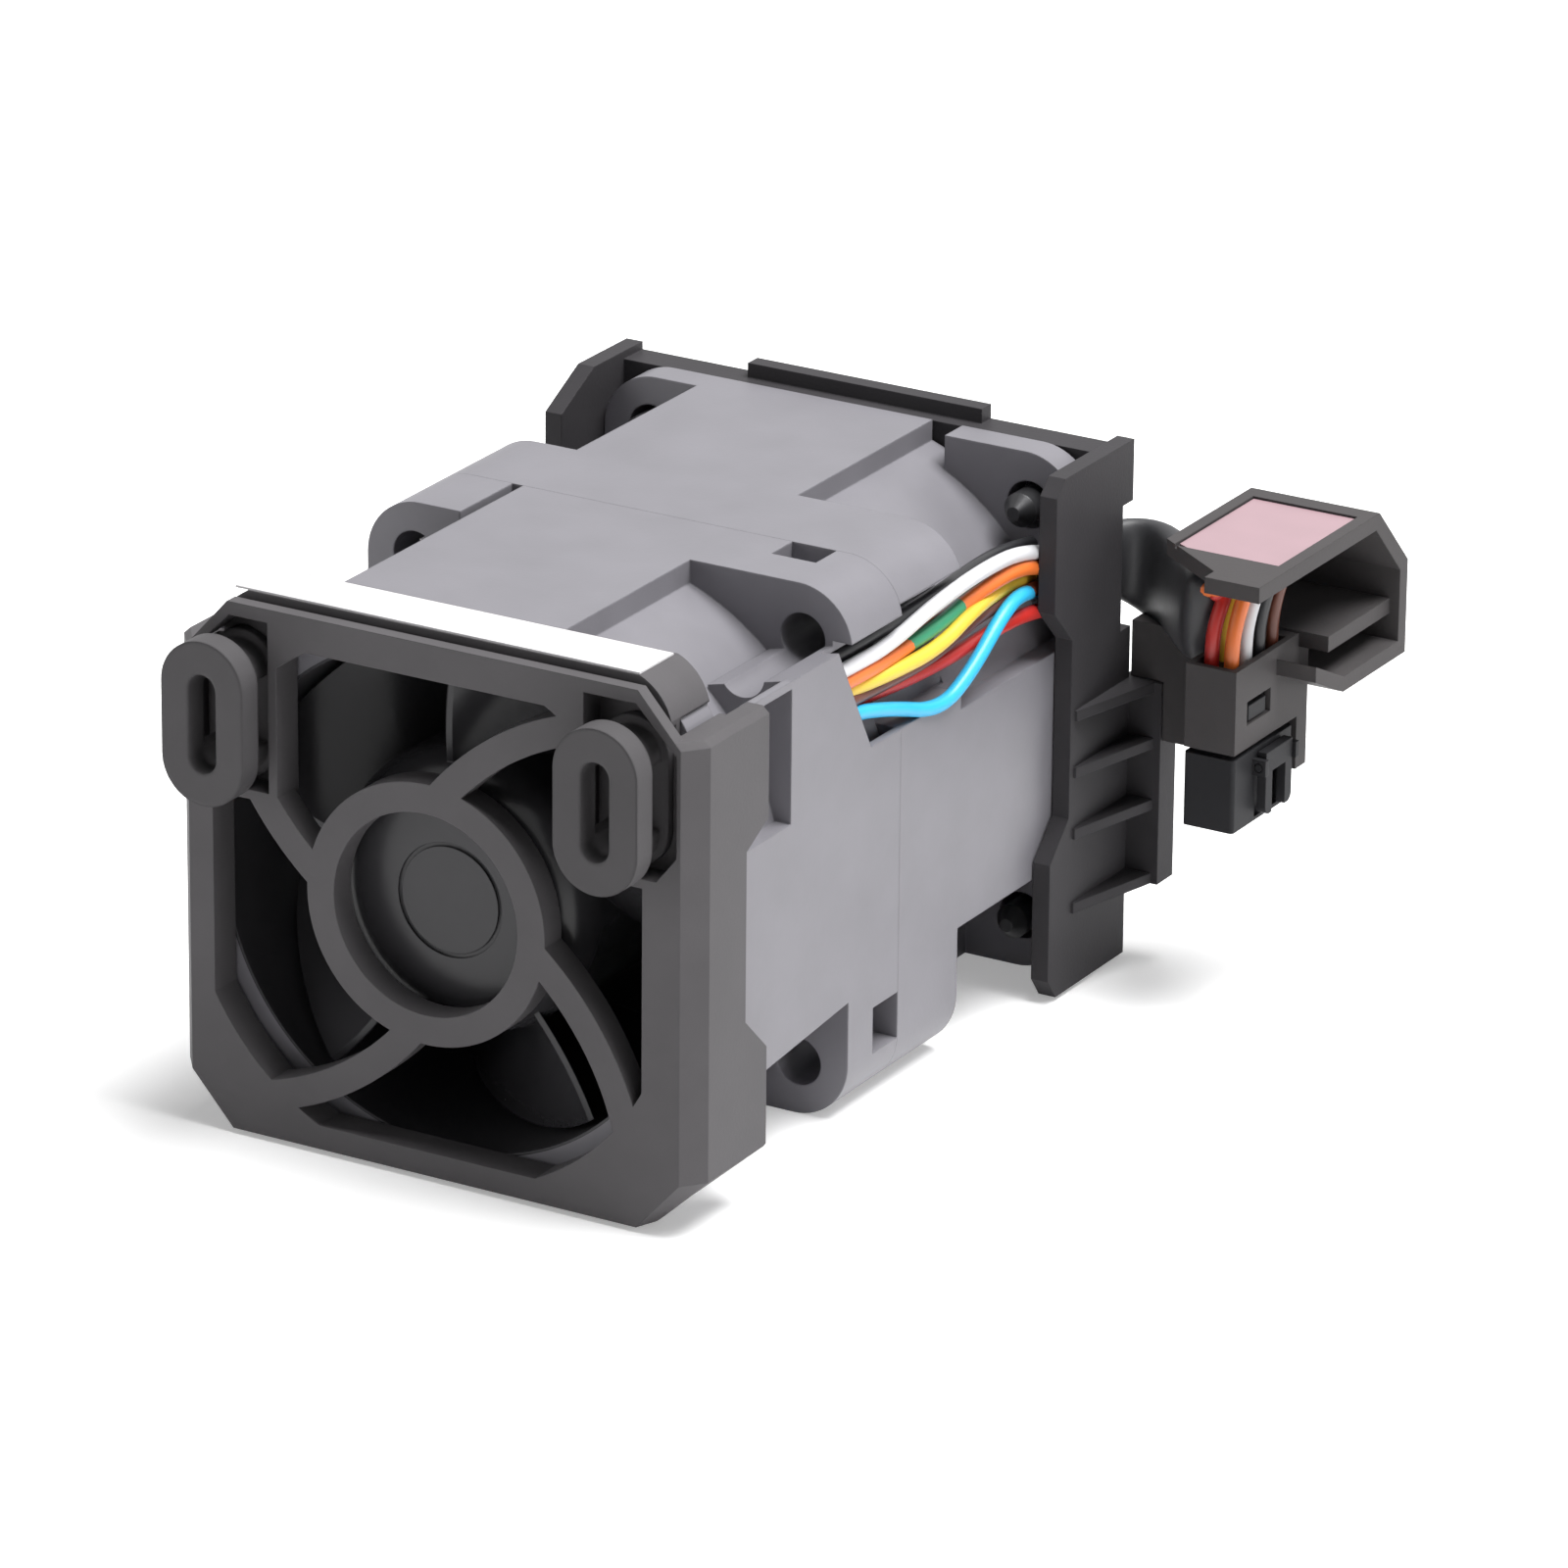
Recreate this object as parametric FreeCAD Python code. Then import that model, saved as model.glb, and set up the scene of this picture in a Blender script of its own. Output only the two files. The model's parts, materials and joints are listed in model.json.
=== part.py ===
"""Counter-rotating dual fan module for a one-unit server, 40 mm square, millimetres.

Frame: X to the right seen from the inlet, Y along the air flow from inlet to outlet, Z up.
The origin is on the resting plane, under the seam between the two fan halves.
"""
import FreeCAD
import Part
import math
import os

V = FreeCAD.Vector

# ---- fan body -------------------------------------------------------------------------
SIZE = 40.0              # width and height of the fan
HALF_LENGTH = 28.0       # each fan half along the air flow
AXIS_Z = SIZE / 2        # height of the rotor axis
BORE_R = SIZE / 2 - 1.4  # air duct
TUBE_R = BORE_R + 0.9    # outside of the duct wall between the flanges
CORNER_R = 4.4           # rounded flange corners
HOLE_PITCH = SIZE - 8.0  # screw hole spacing
HOLE_R = 1.8             # screw holes in the flanges
FIT = 0.1                # clearance between parts that are assembled together
SEAT = 0.02              # clearance between parts pressed or glued together
TRIM_CLEAR = 0.3         # clearance beside a face that nothing has to touch

INLET_TRIM = 0.5         # the inlet flange is this much lower, under the bezel's top wall
INLET_CORNER_R = 5.9     # its rounded upper corners
MID_FLANGE_FRONT = 7.0   # flange of the front half at the seam
MID_FLANGE_REAR = 8.6    # flange of the rear half at the seam
REAR_FLANGE = 2.6        # outlet flange
FLANGE_GAP_W = 2.5       # gap in the outlet flange beside the top flat
EAR_PLATE = 3.5          # solid front part of the front half's seam flange

TOP_PAD_LEFT = SIZE / 2 - 8.7 # flat on top, from the axis to its left edge
TOP_PAD_RIGHT = SIZE / 2 - 13.2 # and to its right edge, beside the screw recess
SIDE_PAD_LOW = 8.6       # lower edge of the side flats
SIDE_PAD_HIGH = SIZE - SIDE_PAD_LOW # upper edge of the side flat on the plain side
PAD_SLOPE = 2.1          # drop of the side flat's lower edge towards the inlet

# ---- wire outlet in the upper right corner ----------------------------------------------
DUCT_LOW = SIZE * 0.625  # lower edge of the wire cover on the front half
DUCT_HIGH = SIZE * 0.905 # upper edge of the wire cover
DUCT_FRONT = 12.7 - HALF_LENGTH # front end of the wire cover
COVER_T = 0.6            # thickness of the wire cover
OUTLET_TOP_Y = -8.9      # slanted rear edge of the wire cover, at its top
OUTLET_LOW_Y = -4.2      # and at its bottom
OUTLET_W = 2.9           # inside width of the wire outlet
CHANNEL_HIGH = SIZE - 3.0 # its upper edge
CHANNEL_DEPTH = 2.3      # depth of the channel through the seam flange
OUTLET_TOP_ROOM = SIZE * 0.047  # top wire below the cover's upper edge
OUTLET_APART = SIZE * 0.0275      # the two columns of wires in the outlet

# ---- rotor and motor -------------------------------------------------------------------
HUB_R = 10.5             # impeller hub
HUB_WALL = HUB_R * 2 / 21
HUB_FACE_T = 1.4
HUB_ROUND = 3.2          # rounded edge of the hub face
HUB_SETBACK = 0.2        # hub face behind the fan's open face
HUB_OPEN_Y = -11.2       # open end of the front hub
BLADE_TIP_GAP = 0.45     # blade tip to duct
BLADE_T = 0.9            # blade thickness at mid chord
BLADE_FRONT = 1.4 - HALF_LENGTH
BLADE_REAR = -12.4
INLET_BLADES = 5
OUTLET_BLADES = 7
YOKE_T = HUB_R * 2 / 35  # steel cup inside the hub
MAGNET_T = HUB_R * 11 / 105
MAGNET_FRONT = 4.4 - HALF_LENGTH
MAGNET_REAR = -12.6
AIR_GAP = 0.35           # magnet to stator
SHAFT_R = 1.0
BEARING_BORE_GAP = 0.05  # running clearance of the shaft
BEARING_R = HUB_R * 2 / 7
BEARING_W = 3.0
BEARING_INNER_R = 1.6    # outside of the inner race
BEARING_OUTER_R = 2.5    # inside of the outer race
BEARING_DISH = 0.3       # shield recess between the races
FRONT_BEARING_Y = 4.7 - HALF_LENGTH
BACK_BEARING_Y = -12.2
SLEEVE_T = HUB_R / 15    # brass tube that carries the bearings
SLEEVE_SHOULDER_R = 2.3
BOSS_R = 2.0             # hub boss that holds the shaft
WASHER_T = 0.5
CLIP_T = 0.4
CLIP_R = 1.9
SHAFT_END = -8.3
CORE_FRONT = 7.4 - HALF_LENGTH
CORE_REAR = -13.6
CORE_RING_T = HUB_R * 2 / 21
POLE_COUNT = 4
POLE_W = 1.9
SHOE_T = HUB_R * 8 / 105
SHOE_ANGLE = 68.0
COIL_W = 1.2             # winding build on each side of a pole
COIL_END = 1.4           # winding beyond the core's end
BOARD_T = 1.0
BOARD_R = HUB_R - HUB_WALL - 0.5
BASE_FRONT = -9.6        # motor base plate
BASE_T = 2.0
BASE_RIM_T = 1.0
VANE_COUNT = 5
VANE_T = 1.1
VANE_TWIST = 24.0        # degrees between a vane's two edges
VANE_FRONT = -9.0
VANE_REAR = -0.6

# ---- bezel ------------------------------------------------------------------------------
BEZEL_FRONT = -HALF_LENGTH - 3.0 # front face
BEZEL_SHIFT = 0.5        # the bezel's outline is set to the right of the axis
BEZEL_FACE_W = SIZE      # width of the front face
BEZEL_BEVEL = 1.35       # the side walls stand this far outside the front face
BEZEL_BEVEL_D = 1.7      # and reach that width this far behind it
BEZEL_LIP = 1.05         # thickness of the front lip, along the top
BEZEL_TOP = SIZE         # top of the front lip
BEZEL_BOTTOM = 0.4
LAND_RISE = 0.4          # the top wall stands this far above the lip
BEZEL_CHAMFER_X = 3.4
BEZEL_CHAMFER_Z = 3.8
BEZEL_DEEP_Y = 6.5 - HALF_LENGTH # rear edge of the side walls near the corners
BEZEL_MID_Y = 3.6 - HALF_LENGTH # rear edge between the corners
BEZEL_MID_LOW = 13.0     # middle of the slanted step below the shallow stretch
BEZEL_MID_HIGH = SIZE - 12.2 # and of the one above it
BEZEL_STEP = 1.4         # half the height of the lower step
BEZEL_STEP_HIGH = 0.8    # half the height of the upper one
BEZEL_WALL_TOP = SIZE - 3.3     # upper end of the side walls
BEZEL_SLOT_W = 0.8       # slot between the top wall's curved end and the side wall
BEZEL_SLOT_D = 1.4
BEZEL_TOP_REAR = 3.6 - HALF_LENGTH # rear edge of the top wall
BEZEL_LOW_FRONT = 2.4    # lower edge of the side walls, at the front
BEZEL_LOW_REAR = 4.3     # and at the rear
BEZEL_LOW_Y = 0.3 - HALF_LENGTH # where the lower edge starts to rise
GROOVE_W = 0.55          # shadow groove between the lip and the top wall
GROOVE_D = 0.6
OPENING_HALF = SIZE / 2 - 2.5 # air opening, half width
OPENING_LOW = 2.2
OPENING_HIGH = SIZE - 2.6
OPENING_R = BORE_R + 1.3 # its corners follow this circle about the axis
RING_OUT = 9.7
RING_IN = 7.5
GRILLE_T = 2.2
ARM_W = 2.2
ARM_START = 84.0         # direction in which an arm leaves the ring, degrees
ARM_END = 50.0           # and in which it reaches the frame
ARM_END_R = OPENING_R + 0.7

# ---- isolators --------------------------------------------------------------------------
LOOP_X = SIZE / 2 - 4.1
LOOP_Z = SIZE - 7.95
LOOP_W = 6.7
LOOP_H = 12.1
LOOP_SLOT_W = 2.3
LOOP_SLOT_H = 7.3
LOOP_FRONT = BEZEL_FRONT - 3.6
LOOP_T = 2.0
NECK_INSET = 2.4         # the neck is this much smaller than the loop
NECK_GAP = 5.0           # opening between the neck's upper and lower half
PAD_T = 0.7              # foot of the neck, on the pocket's floor
POCKET_IN = 3.1          # the pocket reaches this far from the loop's axis, towards the middle
POCKET_LOW = 5.7         # and downwards
POCKET_EDGE = 0.3        # wall left at the sides of the face
POCKET_TOP = 1.0         # and along its top
POCKET_CUT_X = 1.6       # slanted lower outer corner
POCKET_CUT_Z = 2.0
POCKET_RIM = 0.7         # frame round the pocket
POCKET_FLOOR = 0.5
STEM_R = 1.5
STEM_LEN = 4.0

# ---- labels -----------------------------------------------------------------------------
LABEL_HALF = SIZE / 2 - 3.5
LABEL_FRONT = BEZEL_FRONT + 1.7
LABEL_REAR = BEZEL_FRONT + 6.2
LABEL_T = 0.15

# ---- rear bracket -----------------------------------------------------------------------
BRACKET_FRONT = HALF_LENGTH - 8.5 # front edge of the side walls
BRACKET_REAR = HALF_LENGTH + 3.0
BRACKET_WALL = 1.4
BRACKET_PLATE_Y = HALF_LENGTH + 0.3 # front face of the rear plate
BRACKET_TOP = SIZE + 0.4
BRACKET_LOW = 0.3
BRACKET_CHAMFER_Y = 4.6  # slanted upper front corner of the side walls
BRACKET_CHAMFER_Z = 2.4
BRACKET_NIP = 1.2        # small corner cut of the right wall
BRACKET_STEP_Y = 2.7     # the right wall's middle stretch is set back
BRACKET_STEP_LOW = 12.4
BRACKET_STEP_HIGH = SIZE - 11.0
BRACKET_STEP_Z = 1.4
BRACKET_OPENING_R = BORE_R
LEDGE_HALF = 10.2        # raised ledge on top of the rear plate
LEDGE_TOP = SIZE + 0.9
LEDGE_T = 1.4
RIB_HEIGHTS = (21.6, 17.2, 12.4, 6.6)
RIB_FRONT = HALF_LENGTH - 5.2
RIB_REAR = HALF_LENGTH + 5.4
RIB_OUT = 2.7
RIB_T = 0.8
EDGE_NOTCH_LOW = SIZE - 14.0    # notch in the right wall's rear edge, where the sleeve turns outwards
EDGE_NOTCH_HIGH = SIZE - 4.3
EDGE_NOTCH_D = 1.5
SCREW_R = 1.3
SCREW_HEAD_R = 2.4
SCREW_HEAD_T = 1.2
SCREW_TIP = HALF_LENGTH - 5.0 # the screw tips stand out in front of the outlet flange

# ---- connector carrier ------------------------------------------------------------------
HOOD_LEFT = SIZE / 2 + 7.9
HOOD_CORNER_X = 4.4      # the hood's slanted front corner leaves this much of its edge
HOOD_CORNER_Y = 6.4      # and reaches this far back
HOOD_NOSE = 1.4
HOOD_RIGHT = HOOD_LEFT + 10.5
HOOD_TOP = SIZE - 4.0
HOOD_FRONT = HALF_LENGTH - 9.4
HOOD_SLOPE_Y = HALF_LENGTH + 9.2
HOOD_REAR = HALF_LENGTH + 14.0
HOOD_SLOPE_Z = HOOD_TOP - 5.0
HOOD_LOW = HOOD_TOP - 12.2
HOOD_LIP_FRONT = HALF_LENGTH + 4.2
HOOD_WALL = 1.2
HOOD_SHELF_Z = HOOD_TOP - 7.8
HOOD_SHELF_FRONT = HALF_LENGTH - 0.2
STICKER_MARGIN = 1.0
STICKER_RECESS = 0.3
STICKER_FRONT = HALF_LENGTH - 4.6
ARM_PLATE_Y = BRACKET_REAR + 0.2 # plate that joins the carrier to the bracket
ARM_PLATE_T = 1.6
ARM_HIGH = HOOD_LOW + 2.6
PLUG_LEFT = HOOD_LEFT + 3.2
PLUG_RIGHT = PLUG_LEFT + 4.1
PLUG_FRONT = HALF_LENGTH - 6.4
PLUG_REAR = PLUG_FRONT + 9.0
PLUG_TOP = HOOD_SHELF_Z - 0.2
PLUG_SPLIT = PLUG_TOP - 6.4 # lower end of the carrier's plug box
ARM_LOW = PLUG_SPLIT - 4.1
PLUG_LOW = PLUG_SPLIT - 6.0
BOX_WALL = 0.5
WINDOW_FRONT = PLUG_FRONT + 1.8
WINDOW_REAR = WINDOW_FRONT + 3.6
WINDOW_LOW = PLUG_SPLIT + 1.8
WINDOW_HIGH = WINDOW_LOW + 1.8
PIN_PITCH = 2.0
PIN_COUNT = 4
PIN_ROW = 1.6
PIN_R = 0.55
PIN_CAVITY = 0.62
LATCH_FRONT = PLUG_FRONT + 3.4
LATCH_REAR = LATCH_FRONT + 4.0
LATCH_HIGH = PLUG_SPLIT - 0.7
LATCH_LOW = PLUG_LOW + 0.5
LATCH_T = 0.7
LATCH_STANDOFF = 0.7
LATCH_PIN_R = 0.3
LATCH_PIN_Z = LATCH_HIGH - 1.0
LATCH_LUG_T = 0.5
LATCH_PIN_GAP = 0.06
LATCH_GAP = 0.15         # lever to the plug's side
BLADE_HALF = 0.3         # contact blade, half width
CRIMP_LOW = 2.9          # crimp of a contact above the plug's lower end
CRIMP_LEN = 2.4
CONTACT_LOW = 0.4
LEAD_END = 5.4           # end of a lead above the plug's lower end
SHELF_STEP = 2.1         # the hood's lip under the shelf

# ---- wires ------------------------------------------------------------------------------
WIRE_R = 0.55
WIRES = ("black", "white", "green", "orange", "yellow", "brown", "red", "blue")
WIRE_STEP = 1.14         # spacing of wires that lie side by side
WIRE_ENTRY_Y = -10.5     # front end of the wires, inside the wire outlet
WIRE_EXIT_Y = HALF_LENGTH - 6.6 # where the wires enter the sleeve
WIRE_END_Z = SIZE - 5.3  # top wire where it enters the sleeve
WIRE_END_X = SIZE / 2 - 1.1
WIRE_END_STEP = 0.8      # the wires lie staggered in two columns in the sleeve's mouth
WIRE_END_APART = 1.05
WIRE_MID_Z = SIZE - 3.7  # top wire half way along
WIRE_SAG = 1.0           # the lowest wire hangs this much lower there
OUTLET_STEP = SIZE * 0.02 # height step between the wires in the outlet, staggered in two columns
SLEEVE_W = 2.2           # flat oval sleeve over the eight wires
SLEEVE_START_Y = HALF_LENGTH - 3.4
MOUTH_MARGIN = 0.4       # the mouth is this much wider than the wires in it
CHANNEL_MARGIN = 0.07    # the channel's floor is this much below the lowest wire
SLEEVE_H = 5.0
BUNDLE_X = SIZE / 2 - 1.15 # centre of the sleeve where it passes the outlet flange
BUNDLE_Z = SIZE - 9.1
LEAD_TURN_X = PLUG_LEFT - 1.1   # the leads loop round in front of the plug
LEAD_TURN_Y = PLUG_FRONT - 0.8
LEAD_APART = 1.25
LEAD_SPREAD = 1.24       # the two rows of leads at the sleeve's end


# ---- helpers ----------------------------------------------------------------------------
def box(x0, x1, y0, y1, z0, z1):
    return Part.makeBox(x1 - x0, y1 - y0, z1 - z0, V(x0, y0, z0))


def rod_y(radius, y0, y1, x=0.0, z=AXIS_Z):
    return Part.makeCylinder(radius, y1 - y0, V(x, y0, z), V(0, 1, 0))


def tube_y(outer, inner, y0, y1, x=0.0, z=AXIS_Z):
    return rod_y(outer, y0, y1, x, z).cut(rod_y(inner, y0 - 1, y1 + 1, x, z))


def prism_y(points, y0, y1):
    """Solid over a polygon in X and Z, from y0 to y1."""
    face = Part.Face(Part.makePolygon([V(x, y0, z) for x, z in points + points[:1]]))
    return face.extrude(V(0, y1 - y0, 0))


def prism_x(points, x0, x1):
    """Solid over a polygon in Y and Z, from x0 to x1."""
    face = Part.Face(Part.makePolygon([V(x0, y, z) for y, z in points + points[:1]]))
    return face.extrude(V(x1 - x0, 0, 0))


def prism_z(points, z0, z1):
    """Solid over a polygon in X and Y, from z0 to z1."""
    face = Part.Face(Part.makePolygon([V(x, y, z0) for x, y in points + points[:1]]))
    return face.extrude(V(0, 0, z1 - z0))


def revolve_y(points):
    """Solid of revolution about the rotor axis; points are (radius, y)."""
    face = Part.Face(Part.makePolygon([V(r, y, AXIS_Z) for r, y in points + points[:1]]))
    return face.revolve(V(0, 0, AXIS_Z), V(0, 1, 0), 360)


def stadium_y(x, z, width, height, y0, y1):
    """Upright bar with round ends."""
    radius = width / 2
    reach = height / 2 - radius
    bar = box(x - radius, x + radius, y0, y1, z - reach, z + reach)
    return bar.fuse([rod_y(radius, y0, y1, x, z - reach), rod_y(radius, y0, y1, x, z + reach)])


def fuse(shapes):
    whole = shapes[0].fuse(shapes[1:]) if len(shapes) > 1 else shapes[0]
    return whole.removeSplitter()


def other_side(shape):
    """The same piece in the rear half, facing the outlet."""
    return shape.mirror(V(0, 0, 0), V(0, 1, 0))


def spun(shape, degrees):
    turned = shape.copy()
    turned.rotate(V(0, 0, AXIS_Z), V(0, 1, 0), degrees)
    return turned


def fillet_edges_along(shape, axis, radius, keep=lambda edge: True):
    """Round the straight edges that run along one axis."""
    chosen = []
    for edge in shape.Edges:
        if not isinstance(edge.Curve, Part.Line):
            continue
        along = edge.tangentAt(edge.FirstParameter)
        if abs(abs(along.dot(axis)) - 1) < 1e-6 and keep(edge):
            chosen.append(edge)
    return shape.makeFillet(radius, chosen)


def corner_places():
    reach = HOLE_PITCH / 2
    return [(sx * reach, AXIS_Z + sz * reach) for sx in (-1, 1) for sz in (-1, 1)]


def rounded_block(half_width, low, high, y0, y1, radius):
    block = box(-half_width, half_width, y0, y1, low, high)
    return fillet_edges_along(block, V(0, 1, 0), radius)


# ---- fan halves -------------------------------------------------------------------------
def channel_low():
    """Floor of the wire channel on the rear half, under the lowest wire at either end."""
    last = len(WIRES) - 1
    lowest = min(WIRE_MID_Z - last * WIRE_STEP, DUCT_HIGH - OUTLET_TOP_ROOM - last * OUTLET_STEP)
    return lowest - WIRE_R - CHANNEL_MARGIN


def motor_base():
    """Base plate with its rim and the guide vanes that carry it, for the front half."""
    sleeve_r = BEARING_R + SLEEVE_T
    plate_rear = BASE_FRONT + BASE_T
    plate = tube_y(HUB_R, sleeve_r + SEAT, BASE_FRONT, plate_rear)
    rim = tube_y(HUB_R, HUB_R - BASE_RIM_T, plate_rear, VANE_REAR)
    pieces = [plate, rim]
    vane = guide_vane()
    for number in range(VANE_COUNT):
        pieces.append(spun(vane, number * 360.0 / VANE_COUNT))
    return pieces


def guide_vane():
    """Curved vane between the motor base and the duct."""
    sections = []
    for radius in (HUB_R - BASE_RIM_T / 2, BORE_R + (TUBE_R - BORE_R) / 2):
        outline = []
        for share, side in ((0, -1), (1, -1), (1, 1), (0, 1)):
            y = VANE_FRONT + share * (VANE_REAR - VANE_FRONT)
            sideways = radius * math.radians((share - 0.5) * VANE_TWIST) + side * VANE_T / 2
            outline.append(V(sideways, y, AXIS_Z + radius))
        sections.append(Part.makePolygon(outline + outline[:1]))
    return Part.makeLoft(sections, True, True)


def side_pad(sign, high):
    """Flat on one side of the front half, with its sloping lower edge."""
    rear = -MID_FLANGE_FRONT / 2
    front = -HALF_LENGTH + EAR_PLATE / 2
    edge = SIZE / 2
    outline = [(front, SIDE_PAD_LOW - PAD_SLOPE / 2), (rear, SIDE_PAD_LOW + PAD_SLOPE / 2),
               (rear, high), (front, high)]
    inner, outer = sorted((sign * TUBE_R / 2, sign * edge))
    return prism_x(outline, inner, outer)


def flat_pads(y0, y1, left, right):
    top = box(-left, right, y0, y1, AXIS_Z, SIZE)
    bottom = box(-TOP_PAD_LEFT, TOP_PAD_LEFT, y0, y1, 0, AXIS_Z)
    return [top, bottom]


def wire_cover_block():
    """Filled corner between duct and wire cover, on the front half."""
    root = TUBE_R * 0.68
    corner = [(root, DUCT_LOW), (SIZE / 2, DUCT_LOW), (SIZE / 2, DUCT_HIGH), (root, DUCT_HIGH - 1.6)]
    block = prism_y(corner, DUCT_FRONT, -MID_FLANGE_FRONT / 2)
    rail = box(SIZE / 2 - COVER_T, SIZE / 2, BEZEL_DEEP_Y + FIT, DUCT_FRONT, DUCT_HIGH - COVER_T, DUCT_HIGH)
    return [block, rail]


def wire_outlet_cut():
    """Room behind the wire cover, open to the rear past the cover's slanted edge."""
    inner = SIZE / 2 - COVER_T
    left = inner - OUTLET_W
    room = prism_y([(left, DUCT_LOW + COVER_T), (inner, DUCT_LOW + COVER_T),
                    (inner, DUCT_HIGH - COVER_T), (left, DUCT_HIGH - COVER_T - 0.6)], WIRE_ENTRY_Y, 1)
    room = room.cut(rod_y(TUBE_R, WIRE_ENTRY_Y - 1, 2))
    slant = prism_x([(OUTLET_TOP_Y, DUCT_HIGH), (1, DUCT_HIGH), (1, channel_low()),
                     (OUTLET_LOW_Y, channel_low())], inner - 1, SIZE / 2 + 1)
    return [room, slant]


def front_housing():
    face = -HALF_LENGTH
    duct = rod_y(TUBE_R, face, 0)
    inlet = rounded_block(SIZE / 2 - FIT, FIT, SIZE - INLET_TRIM, face, face + EAR_PLATE, INLET_CORNER_R)
    seam = rounded_block(SIZE / 2, 0, SIZE, -MID_FLANGE_FRONT, 0, CORNER_R)
    pads = flat_pads(BEZEL_TOP_REAR + FIT, -MID_FLANGE_FRONT / 2, TOP_PAD_LEFT, TOP_PAD_RIGHT)
    sides = [side_pad(-1, SIDE_PAD_HIGH), side_pad(1, DUCT_LOW + COVER_T)]
    body = fuse([duct, inlet, seam] + pads + sides + wire_cover_block())
    body = body.cut(rod_y(BORE_R, face - 1, 1))
    holes = [rod_y(HOLE_R, face - 1, 1, x, z) for x, z in corner_places()]
    notches = [box(sx * 18.5 - 1.7, sx * 18.5 + 1.7, -MID_FLANGE_FRONT + EAR_PLATE, 1, z, z + EAR_PLATE)
               for sx, z in ((-1, 4.2), (1, 4.2), (-1, 32.3))]
    slot = box(-TOP_PAD_LEFT - 0.9, -TOP_PAD_LEFT, -MID_FLANGE_FRONT - 1, 1, TUBE_R + AXIS_Z - 2, SIZE + 1)
    nick = box(11.0, 14.6, -2.9, 1, SIZE - 1.6, SIZE + 1)
    body = body.cut(holes + notches + [slot, nick] + wire_outlet_cut())
    return fuse([body] + motor_base())


def rear_housing():
    rear = HALF_LENGTH
    duct = rod_y(TUBE_R, 0, rear)
    seam = rounded_block(SIZE / 2, 0, SIZE, 0, MID_FLANGE_REAR, CORNER_R)
    outlet = rounded_block(SIZE / 2, 0, SIZE, rear - REAR_FLANGE, rear, CORNER_R)
    pads = flat_pads(MID_FLANGE_REAR / 2, rear - REAR_FLANGE / 2, TOP_PAD_LEFT + 0.8, TOP_PAD_RIGHT - 0.4)
    sides = []
    for sign, high in ((-1, SIDE_PAD_HIGH), (1, channel_low() - WIRE_SAG - TRIM_CLEAR)):
        inner, outer = sorted((sign * TUBE_R / 2, sign * SIZE / 2))
        sides.append(box(inner, outer, MID_FLANGE_REAR / 2, rear - REAR_FLANGE / 2, SIDE_PAD_LOW + 1, high))
    body = fuse([duct, seam, outlet] + pads + sides)
    body = body.cut(rod_y(BORE_R, -1, rear + 1))
    holes = [rod_y(HOLE_R, rear - REAR_FLANGE - 1, rear + 1, x, z) for x, z in corner_places()]
    holes += [rod_y(HOLE_R, -1, MID_FLANGE_REAR + 1, x, z) for x, z in corner_places()]
    channel = box(SIZE / 2 - CHANNEL_DEPTH, SIZE, -1, MID_FLANGE_REAR + 1, channel_low(), CHANNEL_HIGH)
    notch = box(BUNDLE_X - SLEEVE_W / 2 - FIT, SIZE, rear - REAR_FLANGE - 1, rear + 1,
                BUNDLE_Z - SLEEVE_H / 2 - TRIM_CLEAR, BUNDLE_Z + SLEEVE_H / 2 + TRIM_CLEAR)
    gap_x = TOP_PAD_RIGHT - 0.4
    gap = box(gap_x, gap_x + FLANGE_GAP_W, rear - REAR_FLANGE - 1, rear + 1, AXIS_Z, SIZE + 1)
    gap = gap.cut(rod_y(TUBE_R, 0, rear + 2))
    body = body.cut(holes + [channel, notch, gap])
    base = [other_side(piece) for piece in motor_base()]
    return fuse([body] + base)


# ---- motor ------------------------------------------------------------------------------
def bearing_sleeve():
    outer = BEARING_R + SLEEVE_T
    rear = BASE_FRONT + BASE_T
    return revolve_y([(outer, FRONT_BEARING_Y), (outer, rear), (BEARING_R + SEAT, rear),
                      (BEARING_R + SEAT, BACK_BEARING_Y), (SLEEVE_SHOULDER_R, BACK_BEARING_Y),
                      (SLEEVE_SHOULDER_R, FRONT_BEARING_Y + BEARING_W),
                      (BEARING_R + SEAT, FRONT_BEARING_Y + BEARING_W), (BEARING_R + SEAT, FRONT_BEARING_Y)])


def ball_bearings():
    pair = []
    bore = SHAFT_R + BEARING_BORE_GAP
    for y in (FRONT_BEARING_Y, BACK_BEARING_Y):
        back = y + BEARING_W
        pair.append(revolve_y([(bore, y), (BEARING_INNER_R, y), (BEARING_INNER_R, y + BEARING_DISH),
                               (BEARING_OUTER_R, y + BEARING_DISH), (BEARING_OUTER_R, y), (BEARING_R, y),
                               (BEARING_R, back), (BEARING_OUTER_R, back),
                               (BEARING_OUTER_R, back - BEARING_DISH), (BEARING_INNER_R, back - BEARING_DISH),
                               (BEARING_INNER_R, back), (bore, back)]))
    return Part.makeCompound(pair)


def shoe_radius():
    return HUB_R - HUB_WALL - YOKE_T - MAGNET_T - AIR_GAP


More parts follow.
